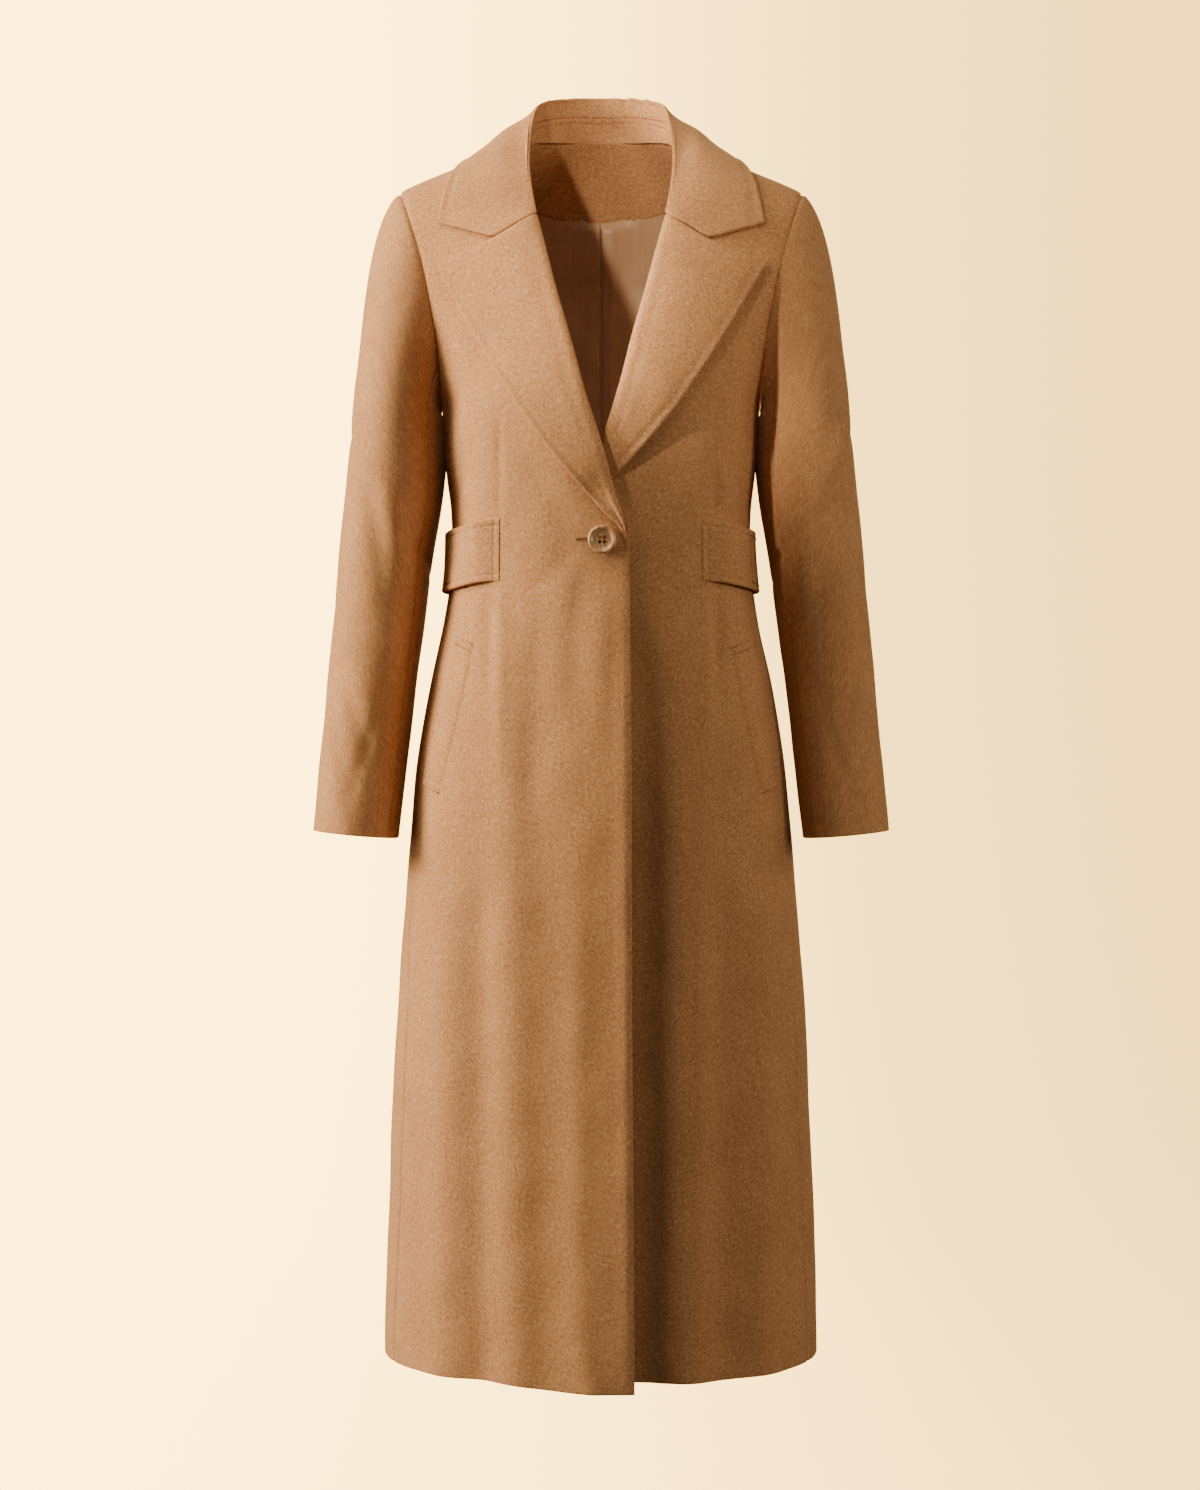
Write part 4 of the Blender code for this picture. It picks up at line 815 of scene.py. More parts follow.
def armholeEdge(angle):
    turn = np.mod(angle, 360)
    ahead = turn <= 180
    row = 2 - np.where(ahead, turn, 360 - turn) / 180
    parts = []
    for face in (front, back):
        edge = rowRing(face, np.maximum(row, 1 + 1e-9))[2]
        points, normals = onBody(face, left, row, edge)
        beyond = onBody(face, left, row, edge + 1e-3)[0]
        parts.append((points, unit(beyond - points), normals))
    return tuple(np.where(ahead[..., None], a, b) for a, b in zip(*parts))


def armRing(angle, level):
    turn = np.radians(angle)
    x = armAt["x"](level) + armAt["halfWidth"](level) * np.cos(turn)
    y = armAt["y"](level) - armAt["halfDepth"](level) * np.sin(turn)
    return np.stack([x, y, level + sleeveSizes["tilt"] * armAt["halfWidth"](level) * np.cos(turn)], axis=-1)


def sleeveSurface(way, angle):  # way 0 to 1 is the head, 1 to 2 the arm
    way, angle = np.broadcast_arrays(np.asarray(way, float), np.asarray(angle, float))
    start, tangent, normal = armholeEdge(angle)
    under = np.sin(np.radians(angle) / 2)[..., None] ** 2
    start = start + cloth["seam"] * 1.6 * unit(tangent * (1 - under) + normal * under)
    tucked = ease(np.clip(way, 0, 1) / sleeveSizes["tuckShare"], 1.0, 0.0)[..., None] * (1 - under)
    start = start - (tangent * sleeveSizes["tuckIn"] + normal * (cloth["wool"] + cloth["seam"])) * tucked
    end = armRing(angle, sleeveSizes["bicep"])
    turn = np.mod(angle, 360)
    fold = np.where(turn <= 180, turn, 360 - turn)
    fore = np.where(turn <= 180, -1, 1) * capAt["fore"](fold)
    leave = np.stack([capAt["out"](fold), fore, -capAt["down"](fold)], axis=-1)
    reach = np.linalg.norm(end - start, axis=-1, keepdims=True)
    arrive = unit(armRing(angle, sleeveSizes["bicep"] - 0.01) - end) * reach * sleeveSizes["capPull"]
    cap = between(np.clip(way, 0, 1)[..., None], start, end, leave, arrive)
    level = sleeveSizes["bicep"] + (sleeveSizes["cuff"] - sleeveSizes["bicep"]) * np.clip(way - 1, 0, 1.01)
    return np.where((way > 1)[..., None], armRing(angle, level), cap)


def sleeveGrid(side, way, angle):
    normals = surfaceNormals(sleeveSurface, way, angle)
    points = sleeveSurface(way, angle)
    centre = np.stack([armAt["x"](points[..., 2]), armAt["y"](points[..., 2]), points[..., 2]], axis=-1)
    if np.sum((normals * (points - centre))[-1]) < 0:
        normals = -normals
    total = ripple(angle / 1400, points[..., 2], "sleeve", side)
    for spot, level, tilt, height, spread, length in sleeveFolds:
        along = (points[..., 2] - level / 1000) / (length / 1000)
        middle = spot - tilt * along * (1.0 if side == right else 0.8)
        across = (np.mod(angle - middle + 180, 360) - 180) / spread
        total = total + height / 1000 * np.exp(-(across**2) - along**2)
    return points + normals * (total * ease(way, 0.2, 0.9))[..., None], normals


def makeSleeves():
    size = sleeveSizes
    cap = closeSet(size["capLength"], size["capRows"], (1, 0))
    arm = 1 + closeSet(size["armLength"], size["armRows"], (0, 1))[1:]
    ways = np.concatenate([cap, arm])
    turned = ease(ways, 0.6, 2.0)[:, None]
    half = math.degrees(cloth["seam"] / 2 / size["seamRadius"])
    dips = [(0, *seamDips["sleeve"]), (1, *seamDips["sleeve"]), (2, *seamDips["body"])]
    for side, word, node in pairs:
        for name, kind, columns, width, first, last in size["pieces"]:
            shares = closeSet(width, columns)
            gap = half * (1 - 2 * shares) * (np.abs(1 - 2 * shares) > 0.9999)
            top, low = (first[i] + (last[i] - first[i]) * shares[None, :] for i in (0, 1))
            angle = top * (1 - turned) + low * turned + gap[None, :]
            grid = sleeveGrid(side, np.repeat(ways[:, None], len(shares), axis=1), angle)
            points, normals = toSide(np.array(grid), side)
            piece = clothPiece(name + word, points, normals, cloth["wool"], camelWool, dips, lift=0.0)
            sew(piece, "camel_wool", "hung", ["front" + word], kind + node)


makeSleeves()
print("sleeves made")

collarSizes = {
    "thick": 0.0032,
    "out": 0.0054,
    "stations": 16,
    "standEnd": 4.8,
    "rows": 190,
    "length": 0.42,
    "columns": 54,
    "width": 0.11,
    "puckerAt": (0.2, 0.08),  # share of the way to the edge, half width
    "near": (0.009, 0.0012),  # first point past the crest: reach and lift
    "bulge": ((0.35, 1.0), (0.7, 0.7)),  # shares of the way to the edge and of the bulge
    # where the gorge runs on the lapel: x, level, distance from the front
    "notch": (0.103, -0.1115, 0.0066),
    "middle": (0.0836, -0.0986, 0.0072),
}
collarAt = readers(
    ("station", "seamX", "seamY", "seamZ", "crestX", "crestY", "crestZ", "edgeX", "edgeOver", "bulge"),
    (
        (0, 0, 70, 41.5, 0, 76, 66, 0, 0.29, 4),
        (1, 31, 65.5, 41, 30, 70, 64.5, 48, 0.3, 4),
        (2, 53.5, 49, 35, 51, 52, 57.8, 86, 0.28, 6),
        (3, 65.5, 30, 26, 62, 32, 48.2, 113, 0.2, 8),
        (4, 70.5, 12, 14, 66, 12, 32.2, 127, 0.09, 9),
        (5, 73.5, -6, 1, 69, -6, 10.6, 133, 0, 8),
        (6, 73.8, -23, -18, 69.9, -24, -13.5, 141.5, -0.09, 6),
        (7, 72.2, -41, -39.5, 69.3, -43, -35.5, 150, -0.18, 4),
        (8, 68.5, -54.5, -64, 66, -58.8, -61.8, 155, -0.265, 3),
        (9, 64.5, -65, -85.5, 61.8, -70, -83.2, 159, -0.343, 2),
    ),
    plain=("station", "edgeOver"),
)


# where the cloth turns over the back of the neck: place along, half width, height
collarPuckers = (
    (18, 2.4, -1.4),
    (24, 2, 1),
    (34, 2.4, -1.5),
    (41, 2.2, 0.8),
    (48, 2.6, -1.2),
    (-28, 3, -0.7),
    (-50, 3.2, 0.6),
)
# collar and lapel edges: a turned, steamed edge, rounder than the rest, with a soft dip inside it
edgeRoll = {"round": 0.0026, "inside": 0.007, "width": 0.0034, "depth": 0.0006}


def collarSpot(kind, station):
    return np.array([collarAt[kind + axis](station) for axis in "XYZ"])


def collarEdge(station):  # edgeOver is the height on the back, or, below nought, on the front
    over = collarAt["edgeOver"](station)
    face, row = back if over >= 0 else front, 2 - abs(over)
    return onBody(face, right, row, angleAt(face, row, collarAt["edgeX"](station)), collarSizes["out"])[0]


def collarSection(station):
    seam, crest, edge = collarSpot("seam", station), collarSpot("crest", station), collarEdge(station)
    if station == 9:
        middle, notch = (bodyAt(front, right, *collarSizes[spot])[0] for spot in ("middle", "notch"))
        near = crest + unit(middle - crest) * 0.006 - np.array([0, 0.0035, 0.0])
        inside = smoothPath([seam, (seam + crest) / 2, crest], 4)
        gorge = smoothPath([crest, near, middle, notch], 6)[1:]
        return np.concatenate([inside, gorge, smoothPath([notch, (notch + edge) / 2, edge], 5)[1:]])
    away, climb = unit(edge - crest), unit(crest - seam)
    up = unit(climb - away * np.dot(climb, away))
    length, bulge = np.linalg.norm(edge - crest), collarAt["bulge"](station)
    steps = [collarSizes["near"]] + [(length * share, bulge * lift) for share, lift in collarSizes["bulge"]]
    outside = [crest + away * reach + up * lift for reach, lift in steps]
    inside = smoothPath([seam, seam + (crest - seam) * 0.6, crest], 4)
    return np.concatenate([inside, smoothPath([crest, *outside, edge], 10)[1:]])


def mirrored(grid):
    return np.concatenate([grid[:0:-1] * np.array([-1, 1, 1]), grid])


def makeCollar():
    size = collarSizes
    stations = np.linspace(0, 9, size["stations"])
    sections = mirrored(np.array([collarSection(station) for station in stations]))
    rowAt, columnAt = closeSet(size["length"], size["rows"]), closeSet(size["width"], size["columns"])
    grid = soften(refine(sections, rowAt, columnAt), 10)
    normals = gridNormals(grid)
    if normals[len(grid) // 2, -8, 2] < 0:
        normals = -normals
    span, reach = (rowAt - 0.5)[:, None] * size["length"], columnAt[None, :]
    shift = ripple(span, reach * 0.1, "collar") * ease(reach, 0.25, 0.5)
    over, wide = size["puckerAt"]
    for middle, width, height in np.array(collarPuckers) / 1000:
        shift = shift + height * hill(span - middle, width) * hill(reach - over, wide)
    inside = (1 - reach) * size["width"] - edgeRoll["inside"]
    shift = shift - edgeRoll["depth"] * hill(inside, edgeRoll["width"]) * ease(reach, 0.5, 0.7)
    grid = grid + normals * shift[..., None]
    piece = clothPiece("collarFall", grid, normals, size["thick"], camelWool, rounding=edgeRoll["round"])
    sew(piece, "camel_wool", "folded", ["collarStand", "backRight", "backLeft"], "collar")


standSizes = {
    "turn": 4.5,  # the station at the shoulder
    "inset": 0.0026,
    "lift": -0.0015,
    "fall": (-0.003, -0.082),  # level at the shoulder, and how much lower a turn further on
    "rows": 90,
    "length": 0.25,
    "columns": 14,
    "width": 0.045,
    "forward": 0.0038,  # its foot meets the facing
    "channel": 0.0052,
    "pull": (0.0005, 0.0009),  # depth and half width of the channel
}


def neckSeam(station):
    size = standSizes
    if station <= size["turn"]:
        sweep = math.sin(math.pi / 2 * station / size["turn"])
        row = 1.998
        point = onBody(back, left, row, angleAt(back, row, bodySizes["neckHalf"] * sweep))[0]
        return point + np.array([-size["inset"] * sweep, 0, size["lift"]])
    level = size["fall"][0] + size["fall"][1] * (station / size["turn"] - 1)
    x = edgeAt["x"](level) + edgeAt["setback"](level)
    return bodyAt(front, right, x, level)[0] + np.array([-size["inset"], 0, size["lift"]])


def makeStand():
    size = standSizes
    rows = []
    for station in np.linspace(0, 9, collarSizes["stations"]):
        if station <= collarSizes["standEnd"] + 1e-6:
            base, seam = neckSeam(station), collarSpot("seam", station)
            shares = np.linspace(0, 1, 4)[:, None]
            top = seam + unit(base - seam) * cloth["seam"] * 1.5
            rows.append(top * (1 - shares) + base * shares)
    share = closeSet(size["width"], size["columns"], (1, 1), (size["channel"],))
    grid = refine(mirrored(np.array(rows)), closeSet(size["length"], size["rows"]), share)
    normals = gridNormals(grid)
    if normals[len(grid) // 2, 8, 1] > 0:
        normals = -normals
    grid = grid + normals * size["forward"] * share[None, :, None] ** 2
    lines = [(0, *seamDips["stand"]), (1, *seamDips["stand"]), (0, size["channel"], *size["pull"])]
    piece = clothPiece("collarStand", grid, normals, cloth["wool"], camelWool, lines)
    sew(piece, "camel_wool", "folded", ["backRight", "backLeft"], "collar_stand")
    return grid, normals


makeCollar()
standGrid, standNormals = makeStand()
print("collar made")

lapelSizes = {
    "thick": 0.003,
    "rest": 0.0078,
    "clear": 0.0013,
    "tuck": 0.0022,
    "fullWidth": 0.045,
    "topGap": 0.0009,
    "setback": 0.006,
    "tip": (0.8, 1.0),  # share of the rows over which the right lapel runs out into the front edge
    "tipThin": 0.3,
    # reach and lift of the roll at the fold, and lowRoll where the lapel lies close, above the button
    "roll": ((0.0042, -0.0028), (0.0004, 0.0008), (0.0018, 0.0048), (0.007, 0.0076), (0.015, 0.008)),
    "lowRoll": ((0.0, 0.003), (0.0008, 0.004), (0.0022, 0.0048), (0.007, 0.0054), (0.015, 0.0056)),
    "sunk": 0.0012,
    "shares": (0.12, 0.26, 0.42, 0.58, 0.74, 0.88, 1.0),  # from the end of the roll to the outer edge
    "rows": 120,
    "length": 0.33,
    "columns": 56,
    "width": 0.12,
}
lapelColumns = ("row", "foldX", "foldZ", "outerX", "outerZ")
lapelRows = {
    right: (
        (0, 61.8, -86.2, 160, -129),
        (1, 59, -96, 153, -142),
        (2, 53, -119, 138, -169),
        (3, 46, -147, 121.5, -198),
        (4, 38, -177, 104, -229),
        (5, 29.3, -207, 86, -260),
        (6, 20, -243, 69, -288),
        (7, 10.5, -277, 51, -315),
        (8, 1, -306, 32, -340),
        (9, -8.5, -342, 15, -359),
        (10, -16, -368, 1, -377),
        (11, -22.2, -389, -14, -390.5),
        (12, -24.3, -398.5, -19.2, -399.5),
        (13, -25.6, -407.5, -22.7, -408.5),
        (14, -26.4, -416.5, -25, -417),
    ),
    left: (
        (0, 61.8, -86.2, 160, -130),
        (1, 59, -96, 151, -145),
        (2, 53, -119, 134, -173),
        (3, 46, -147, 115, -204),
        (4, 38, -177, 96, -235),
        (5, 29.3, -207, 78, -263),
        (6, 20, -243, 59, -291),
        (7, 10.5, -277, 40, -315),
        (8, 2, -304, 25, -333),
        (9, -6, -328, 11, -346),
        (10, -10, -344, 0, -355),
    ),
}
lapelTop = readers(
    ("share", "x", "z"),
    (
        (0, 61.8, -86.8),
        (0.22, 82.8, -100.8),
        (0.42, 102, -112.8),
        (0.54, 114, -118.8),
        (0.72, 131, -125),
        (1, 160, -131.5),
    ),
    plain=("share",),
)


# how far the outer edge stands off the front, by row: the lapels lift away towards their edges
lapelLift = hermite(
    (0, 1, 3, 6, 8, 10, 12, 14),
    (0.01, 0.012, 0.0135, 0.0125, 0.0095, 0.0064, 0.0046, 0.004),
)


def lapelGrid(side):
    size = lapelSizes
    table = lapelRows[side]
    straight = readers(lapelColumns, table, plain=("row",))
    gorge = collarSection(9)[3:9]
    reach, lift = np.array(size["roll"]).T
    lowReach, lowLift = np.array(size["lowRoll"]).T
    rows = []
    for station in np.linspace(0, table[-1][0], len(table) + 1):
        fold, edge = (np.array([straight[end + axis](station) for axis in "XZ"]) for end in ("fold", "outer"))
        width = np.linalg.norm(edge - fold)
        small = min(1.0, width / size["fullWidth"])
        tight = ease(size["setback"] - edgeAt["setback"](fold[1]), 0.0, 0.002)
        sink = ease(station, 10.5, 14.0) * (side == right)  # the tip settles onto the front's edge
        near = np.minimum((reach * (1 - tight) + lowReach * tight) * small / width, 0.9)
        rolled = min(reach[-1] * small / width, 0.9)
        far = rolled + (1 - rolled) * np.array(size["shares"])
        spots = fold + (edge - fold) * np.concatenate([near, far])[:, None]
        if station < 0.5:
            spots[len(near) :] = np.stack([lapelTop["x"](far), lapelTop["z"](far)], axis=-1)
        rest = size["rest"] + (lapelLift(station) - size["rest"]) * far
        lifts = np.maximum(lift * small, -size["tuck"]) * (1 - tight) + lowLift * tight
        lifts = np.concatenate([lifts, np.maximum(rest * small, size["thick"] + size["clear"])])
        rows.append(np.column_stack([spots, lifts * (1 - sink) + size["sunk"] * sink]))
    grid, bodyNormals = bodyAt(front, side, *np.array(rows).transpose(2, 0, 1))
    for spot in grid[0, 2:]:
        if spot[0] < gorge[-1][0]:
            spot[1] = np.interp(spot[0], gorge[:, 0], gorge[:, 1])
            spot[2] = np.interp(spot[0], gorge[:, 0], gorge[:, 2]) - size["topGap"]
    return grid, bodyNormals


def makeLapel(side, word, node):
    size = lapelSizes
    coarse, bodyNormals = lapelGrid(side)
    rowAt, columnAt = closeSet(size["length"], size["rows"]), closeSet(size["width"], size["columns"])
    grid = soften(refine(coarse, rowAt, columnAt), 12)
    normals = gridNormals(grid)
    aims = refine(bodyNormals, rowAt, columnAt)
    if np.sum(normals[:, -12:] * aims[:, -12:]) < 0:
        normals = -normals
    # the edge turns over a soft inner seam, and the cloth undulates a little
    toEdge = runs(grid[:, ::-1], 1)[:, ::-1]
    shift = ripple(grid[..., 0], grid[..., 2], "lapel", side) * ease(toEdge, 0.0, 0.02)
    inside = hill(toEdge - edgeRoll["inside"], edgeRoll["width"])
    shift = shift - edgeRoll["depth"] * inside * ease(rowAt, 0.02, 0.08)[:, None]
    grid, normals = toSide(np.array([grid + normals * shift[..., None], normals]), side)
    thin = 1 - (1 - size["tipThin"]) * ease(rowAt, *size["tip"]) * (side == right)
    thick, lay = (size["thick"] * thin)[:, None], grid[..., [0, 2]]
    piece = clothPiece("lapel" + word, grid, normals, thick, camelWool, rounding=edgeRoll["round"], lay=lay)
    sew(piece, "camel_wool", "folded", ["front" + word], "lapel_" + node)


for pair in pairs:
    makeLapel(*pair)
print("lapels made")

beltSizes = {
    "top": -0.3835,
    "bottom": -0.444,
    "sideDrop": 0.0068,
    "endX": 0.0975,
    "thick": 0.0032,
    "endThin": 0.5,
    "round": 0.002,
    "endOut": 0.0011,
    "sideOut": 0.0068,
    "endShare": 0.09,
    "stitchIn": 0.0065,
    "pull": (0.0005, 0.0012),  # depth and half width of the stitches' channel
    "columns": 150,
    "length": 0.3,
    "rows": 34,
    "lift": 0.3,
}


def beltSpot(side, share, step):  # share 0 at the centre back, 1 at the front end; step 0 at the top
    size = beltSizes
    under, hem = bodySizes["underarm"], bodySizes["hem"]
    level = size["top"] + (size["bottom"] - size["top"]) * step
    frontEnd = angleAt(front, (level - hem) / (under - hem), size["endX"])
    turn = math.pi * (1 - share) + frontEnd * share
    level = level - size["sideDrop"] * ease(np.sin(turn) ** 2, np.sin(frontEnd) ** 2, 1.0)
    row = (level - hem) / (under - hem)
    out = size["endOut"] + (size["sideOut"] - size["endOut"]) * ease(1 - share, 0.0, size["endShare"])
    out = out + ripple(share * 0.5, step * 0.06, "belt", side) * ease(1 - share, 0, 0.2)
    ahead, aheadNormals = onBody(front, side, row, np.minimum(turn, math.pi / 2), out)
    behind, behindNormals = onBody(back, side, row, np.minimum(math.pi - turn, math.pi / 2), out)
    pick = (turn < math.pi / 2)[..., None]
    return np.where(pick, ahead, behind), np.where(pick, aheadNormals, behindNormals)


def makeBelt():
    size = beltSizes
    channel = (size["stitchIn"],)
    half = closeSet(size["length"], size["columns"], (0, 1), channel)
    steps = closeSet(size["top"] - size["bottom"], size["rows"], (1, 1), channel)
    spots = np.meshgrid(half, steps, indexing="ij")
    halves = [toSide(np.array(beltSpot(side, *spots)), side) for side in (right, left)]
    points, normals = np.concatenate([halves[0][:, :0:-1], halves[1]], axis=1)
    points[len(half) - 1, :, 0] = 0.0
    thin = 1 - (1 - size["endThin"]) * ease(half, 1 - size["endShare"], 1.0)
    thick = size["thick"] * np.concatenate([thin[:0:-1], thin])[:, None]
    lines = [(which, size["stitchIn"], *size["pull"]) for which in range(4)]
    piece = clothPiece("halfBelt", points, normals, thick, camelWool, lines, size["round"], size["lift"])
    under = ["frontRight", "frontLeft", "backSkirtRight", "backSkirtLeft"]
    sew(piece, "camel_wool", "stretched", under, "half_belt")


makeBelt()

weltSizes = {
    "width": 0.0175,
    "bend": 1.15,
    "thick": 0.0014,
    "out": 0.0013,
    "settle": (0.0011, 0.0042),  # depth and width in which its front edge rises out of the cloth
    "rows": 56,
    "length": 0.15,
    "columns": 8,
    "channel": 0.009,
    # grooves as in clothPiece
    "edgeRidge": (0, 0.0044, -0.0005, 0.0022),
    "upperLine": (2, 0.009, 0.0008, 0.0009),
    "lowerLine": (3, 0.009, 0.0005, 0.0009),
    right: {"topX": 0.1235, "top": -0.5035, "bottomX": 0.1575, "bottom": -0.65, "rise": 0.009},
    left: {"topX": 0.1255, "top": -0.507, "bottomX": 0.156, "bottom": -0.65, "rise": 0.0075},
}


def weltSpot(side, down, across, out):
    size = weltSizes[side]
    lean = (size["bottomX"] - size["topX"]) * down ** weltSizes["bend"]
    x = size["topX"] + lean + weltSizes["width"] * across
    z = size["top"] + (size["bottom"] - size["top"]) * down + size["rise"] * across
    return toSide(np.array(bodyAt(front, side, x, z, out)), side)


def makeWelt(side, word, node):
    size = weltSizes
    across = closeSet(size["width"], size["columns"])
    down = closeSet(size["length"], size["rows"], (1, 1), (size["channel"],))
    down, across = np.meshgrid(down, across, indexing="ij")
    depth, width = size["settle"]
    points, normals = weltSpot(side, down, across, size["out"] - depth * hill(across * size["width"], width))
    lines = [size[line] for line in ("edgeRidge", "upperLine", "lowerLine")]
    piece = clothPiece("pocketWelt" + word, points, normals, size["thick"], camelWool, lines, lift=0.0)
    sew(piece, "camel_wool", "laid", ["front" + word], "pocket_welt_" + node)


for pair in pairs:
    makeWelt(*pair)
print("belt and welts made")

facingSizes = {
    "topHalf": 0.0775,
    "bottomHalf": 0.088,
    "bottom": -0.059,
    "sideLift": 0.009,
    "gap": 0.0018,
    "topGap": 0.0012,
    "rise": 0.0018,  # its top edge hides the neck seam
    "columns": 60,
    "width": 0.16,
    "rows": 30,
    "height": 0.07,
}


def facingEdge(x):
    return facingSizes["bottom"] + facingSizes["sideLift"] * (x / bodySizes["neckHalf"]) ** 2


def makeFacing():
    size = facingSizes
    columns, rows = closeSet(size["width"], size["columns"]), closeSet(size["height"], size["rows"])
    share, way = np.meshgrid(columns, rows, indexing="ij")
    share = share * 2 - 1
    x = share * (size["topHalf"] + (size["bottomHalf"] - size["topHalf"]) * way)
    top = shoulderLevel(x) - size["topGap"]
    z = top + (facingEdge(x) - top) * way
    points, normals = bodyAt(back, left, np.abs(x), z, -cloth["wool"] - size["gap"])
    flip = np.sign(x)[..., None] * np.array([1, 0, 0]) + np.array([0, 1, 1])
    points, normals = points * flip, normals * flip
    points = points - normals * ripple(x, z, "facing")[..., None]
    points[..., 2] += size["rise"] * (1 - way) ** 6
    # its shown side looks forward, so the grid is the shown face and the wall lies behind it
    shown, aims = points - normals * cloth["satin"], -normals
    piece = clothPiece("backNeckFacing", shown, aims, cloth["satin"], camelWool)
    sew(piece, "camel_wool", "hung", ["collarStand"], "back_neck_facing")


liningSizes = {
    "firstRow": 0.04,
    "lastRow": 1.5,
    "gap": 0.0004,
    "tuck": 0.006,  # how far its top edge goes up behind the facing
    "pleatHalf": 0.001,
    "pleatSpread": 0.03,
    "pleatDepth": 0.0046,
    "pleatRoll": (0.011, 0.0075, 0.0024),  # the fold beside it: x, half width, height
    "pleatEnd": -0.7,
    "rows": 150,
    "topRows": 25,
    "closeShare": 0.06,  # of the width, next to the pleat
    "closeColumns": 13,
    "columns": 44,
    "lastShare": 0.996,
    "gatherWiden": 0.06,
    "gatherLength": 0.022,
}
# gathers under the facing: x, half width, height
gathers = (
    (12, 1.6, 1.6),
    (16.5, 1.4, 2.2),
    (21, 1.3, 2.4),
    (25.5, 1.4, 2.2),
    (31, 1.8, 1.6),
    (40, 2.6, 1.2),
    (-21, 2, 0.8),
    (-34, 2.6, 0.8),
)


def makeLining():
    size = liningSizes
    rows = np.linspace(size["firstRow"], size["lastRow"], size["rows"])
    close = np.linspace(0, size["closeShare"], size["closeColumns"] + 1)[:-1]
    shares = np.concatenate([close, np.linspace(size["closeShare"], size["lastShare"], size["columns"])])
    topX = shares * facingSizes["bottomHalf"]
    halves = []
    for side in (right, left):
        grid, aims = panelGrid(back, side, rows, shares)
        top, topAims = bodyAt(back, side, topX, facingEdge(topX) + size["tuck"])
        steps = np.linspace(0, 1, size["topRows"] + 1)[1:, None, None]
        aims = np.concatenate([aims, unit(aims[-1] * (1 - steps) + topAims * steps)])
        grid = np.concatenate([grid, grid[-1] * (1 - steps) + top * steps])
        x, z = grid[..., 0], grid[..., 2]
        spot, width, height = size["pleatRoll"]
        pleat = size["pleatDepth"] * hill(x, size["pleatSpread"]) * (1 - hill(x, size["pleatHalf"]))
        pleat = pleat + height * hill(x * side - spot, width)
        below = facingEdge(x) - z
        total = pleat * ease(z, bodySizes["hem"], size["pleatEnd"]) * ease(below, -0.0005, 0.008)
        total = total + np.abs(ripple(x, z, "lining", side)) * ease(below, 0.0, 0.06)
        for spot, width, height in np.array(gathers) / 1000:
            if spot * side > 0:
                shape = hill(x - abs(spot), width + size["gatherWiden"] * np.clip(below, 0, 0.2))
                total = total + height * shape * np.exp(-np.clip(below, 0, 1) / size["gatherLength"])
        total = np.maximum(total, 0) * ease(below, -0.003, 0.001)
        shown = grid - aims * (cloth["wool"] + size["gap"] + cloth["satin"] + total)[..., None]
        halves.append(toSide(np.array([shown, -aims]), side))
    shown, aims = np.concatenate([halves[0][:, :, :0:-1], halves[1]], axis=2)
    piece = clothPiece("backLining", shown, aims, cloth["satin"], satin)
    sew(piece, "tan_satin", "hung", ["backNeckFacing"], "back_lining")


makeFacing()
makeLining()
print("facing and lining made")

buttonSizes = {
    "x": -0.001,
    "level": -0.4063,
    "radius": 0.0137,
    "thick": 0.0042,
    "seat": 0.0016,
    "sides": 72,
    "holeRadius": 0.00165,
    "holeReach": 0.0032,
    "holeSides": 24,
    "sharp": 50,  # degrees past which an edge stays sharp
    # shares of the radius and of the thickness, from the middle of the back to the middle of the dish
    "profile": (
        (0.0, 0.0),
        (0.78, 0.0),
        (0.9, 0.08),
        (0.96, 0.25),
        (0.995, 0.45),
        (1.0, 0.6),
        (0.985, 0.78),
        (0.945, 0.92),
        (0.89, 0.995),
        (0.84, 1.0),
        (0.785, 0.95),
        (0.72, 0.82),
        (0.66, 0.7),
        (0.6, 0.635),
        (0.45, 0.6),
        (0.0, 0.58),
    ),
}


def buttonFrame():
    size = buttonSizes
    centre, normal = toSide(np.array(bodyAt(front, right, size["x"], size["level"])), right)
    up = unit(np.array([0.0, 0.0, 1.0]) - normal * normal[2])
    return centre + normal * size["seat"], np.stack([np.cross(up, normal), up, normal])


def circleOf(sides):
    turns = np.linspace(0, 2 * math.pi, sides, endpoint=False)
    return np.stack([np.cos(turns), np.sin(turns)], axis=-1)


def rounds(sides, profile, middle=(0, 0)):  # a level circle for each radius and height
    flat = circleOf(sides)
    return [np.column_stack([flat * radius + middle, np.full(sides, height)]) for radius, height in profile]


def ringMesh(name, rings, closedEnds, finish):
    sides, last = len(rings[0]), len(rings) - 1
    faces = []
    for i in range(last):
        for j in range(sides):
            k = (j + 1) % sides
            faces.append((i * sides + j, i * sides + k, (i + 1) * sides + k, (i + 1) * sides + j))
    if closedEnds:
        faces.append(tuple(range(sides - 1, -1, -1)))
        faces.append(tuple(last * sides + j for j in range(sides)))
    return addMesh(name, np.concatenate(rings), [], faces, finish)


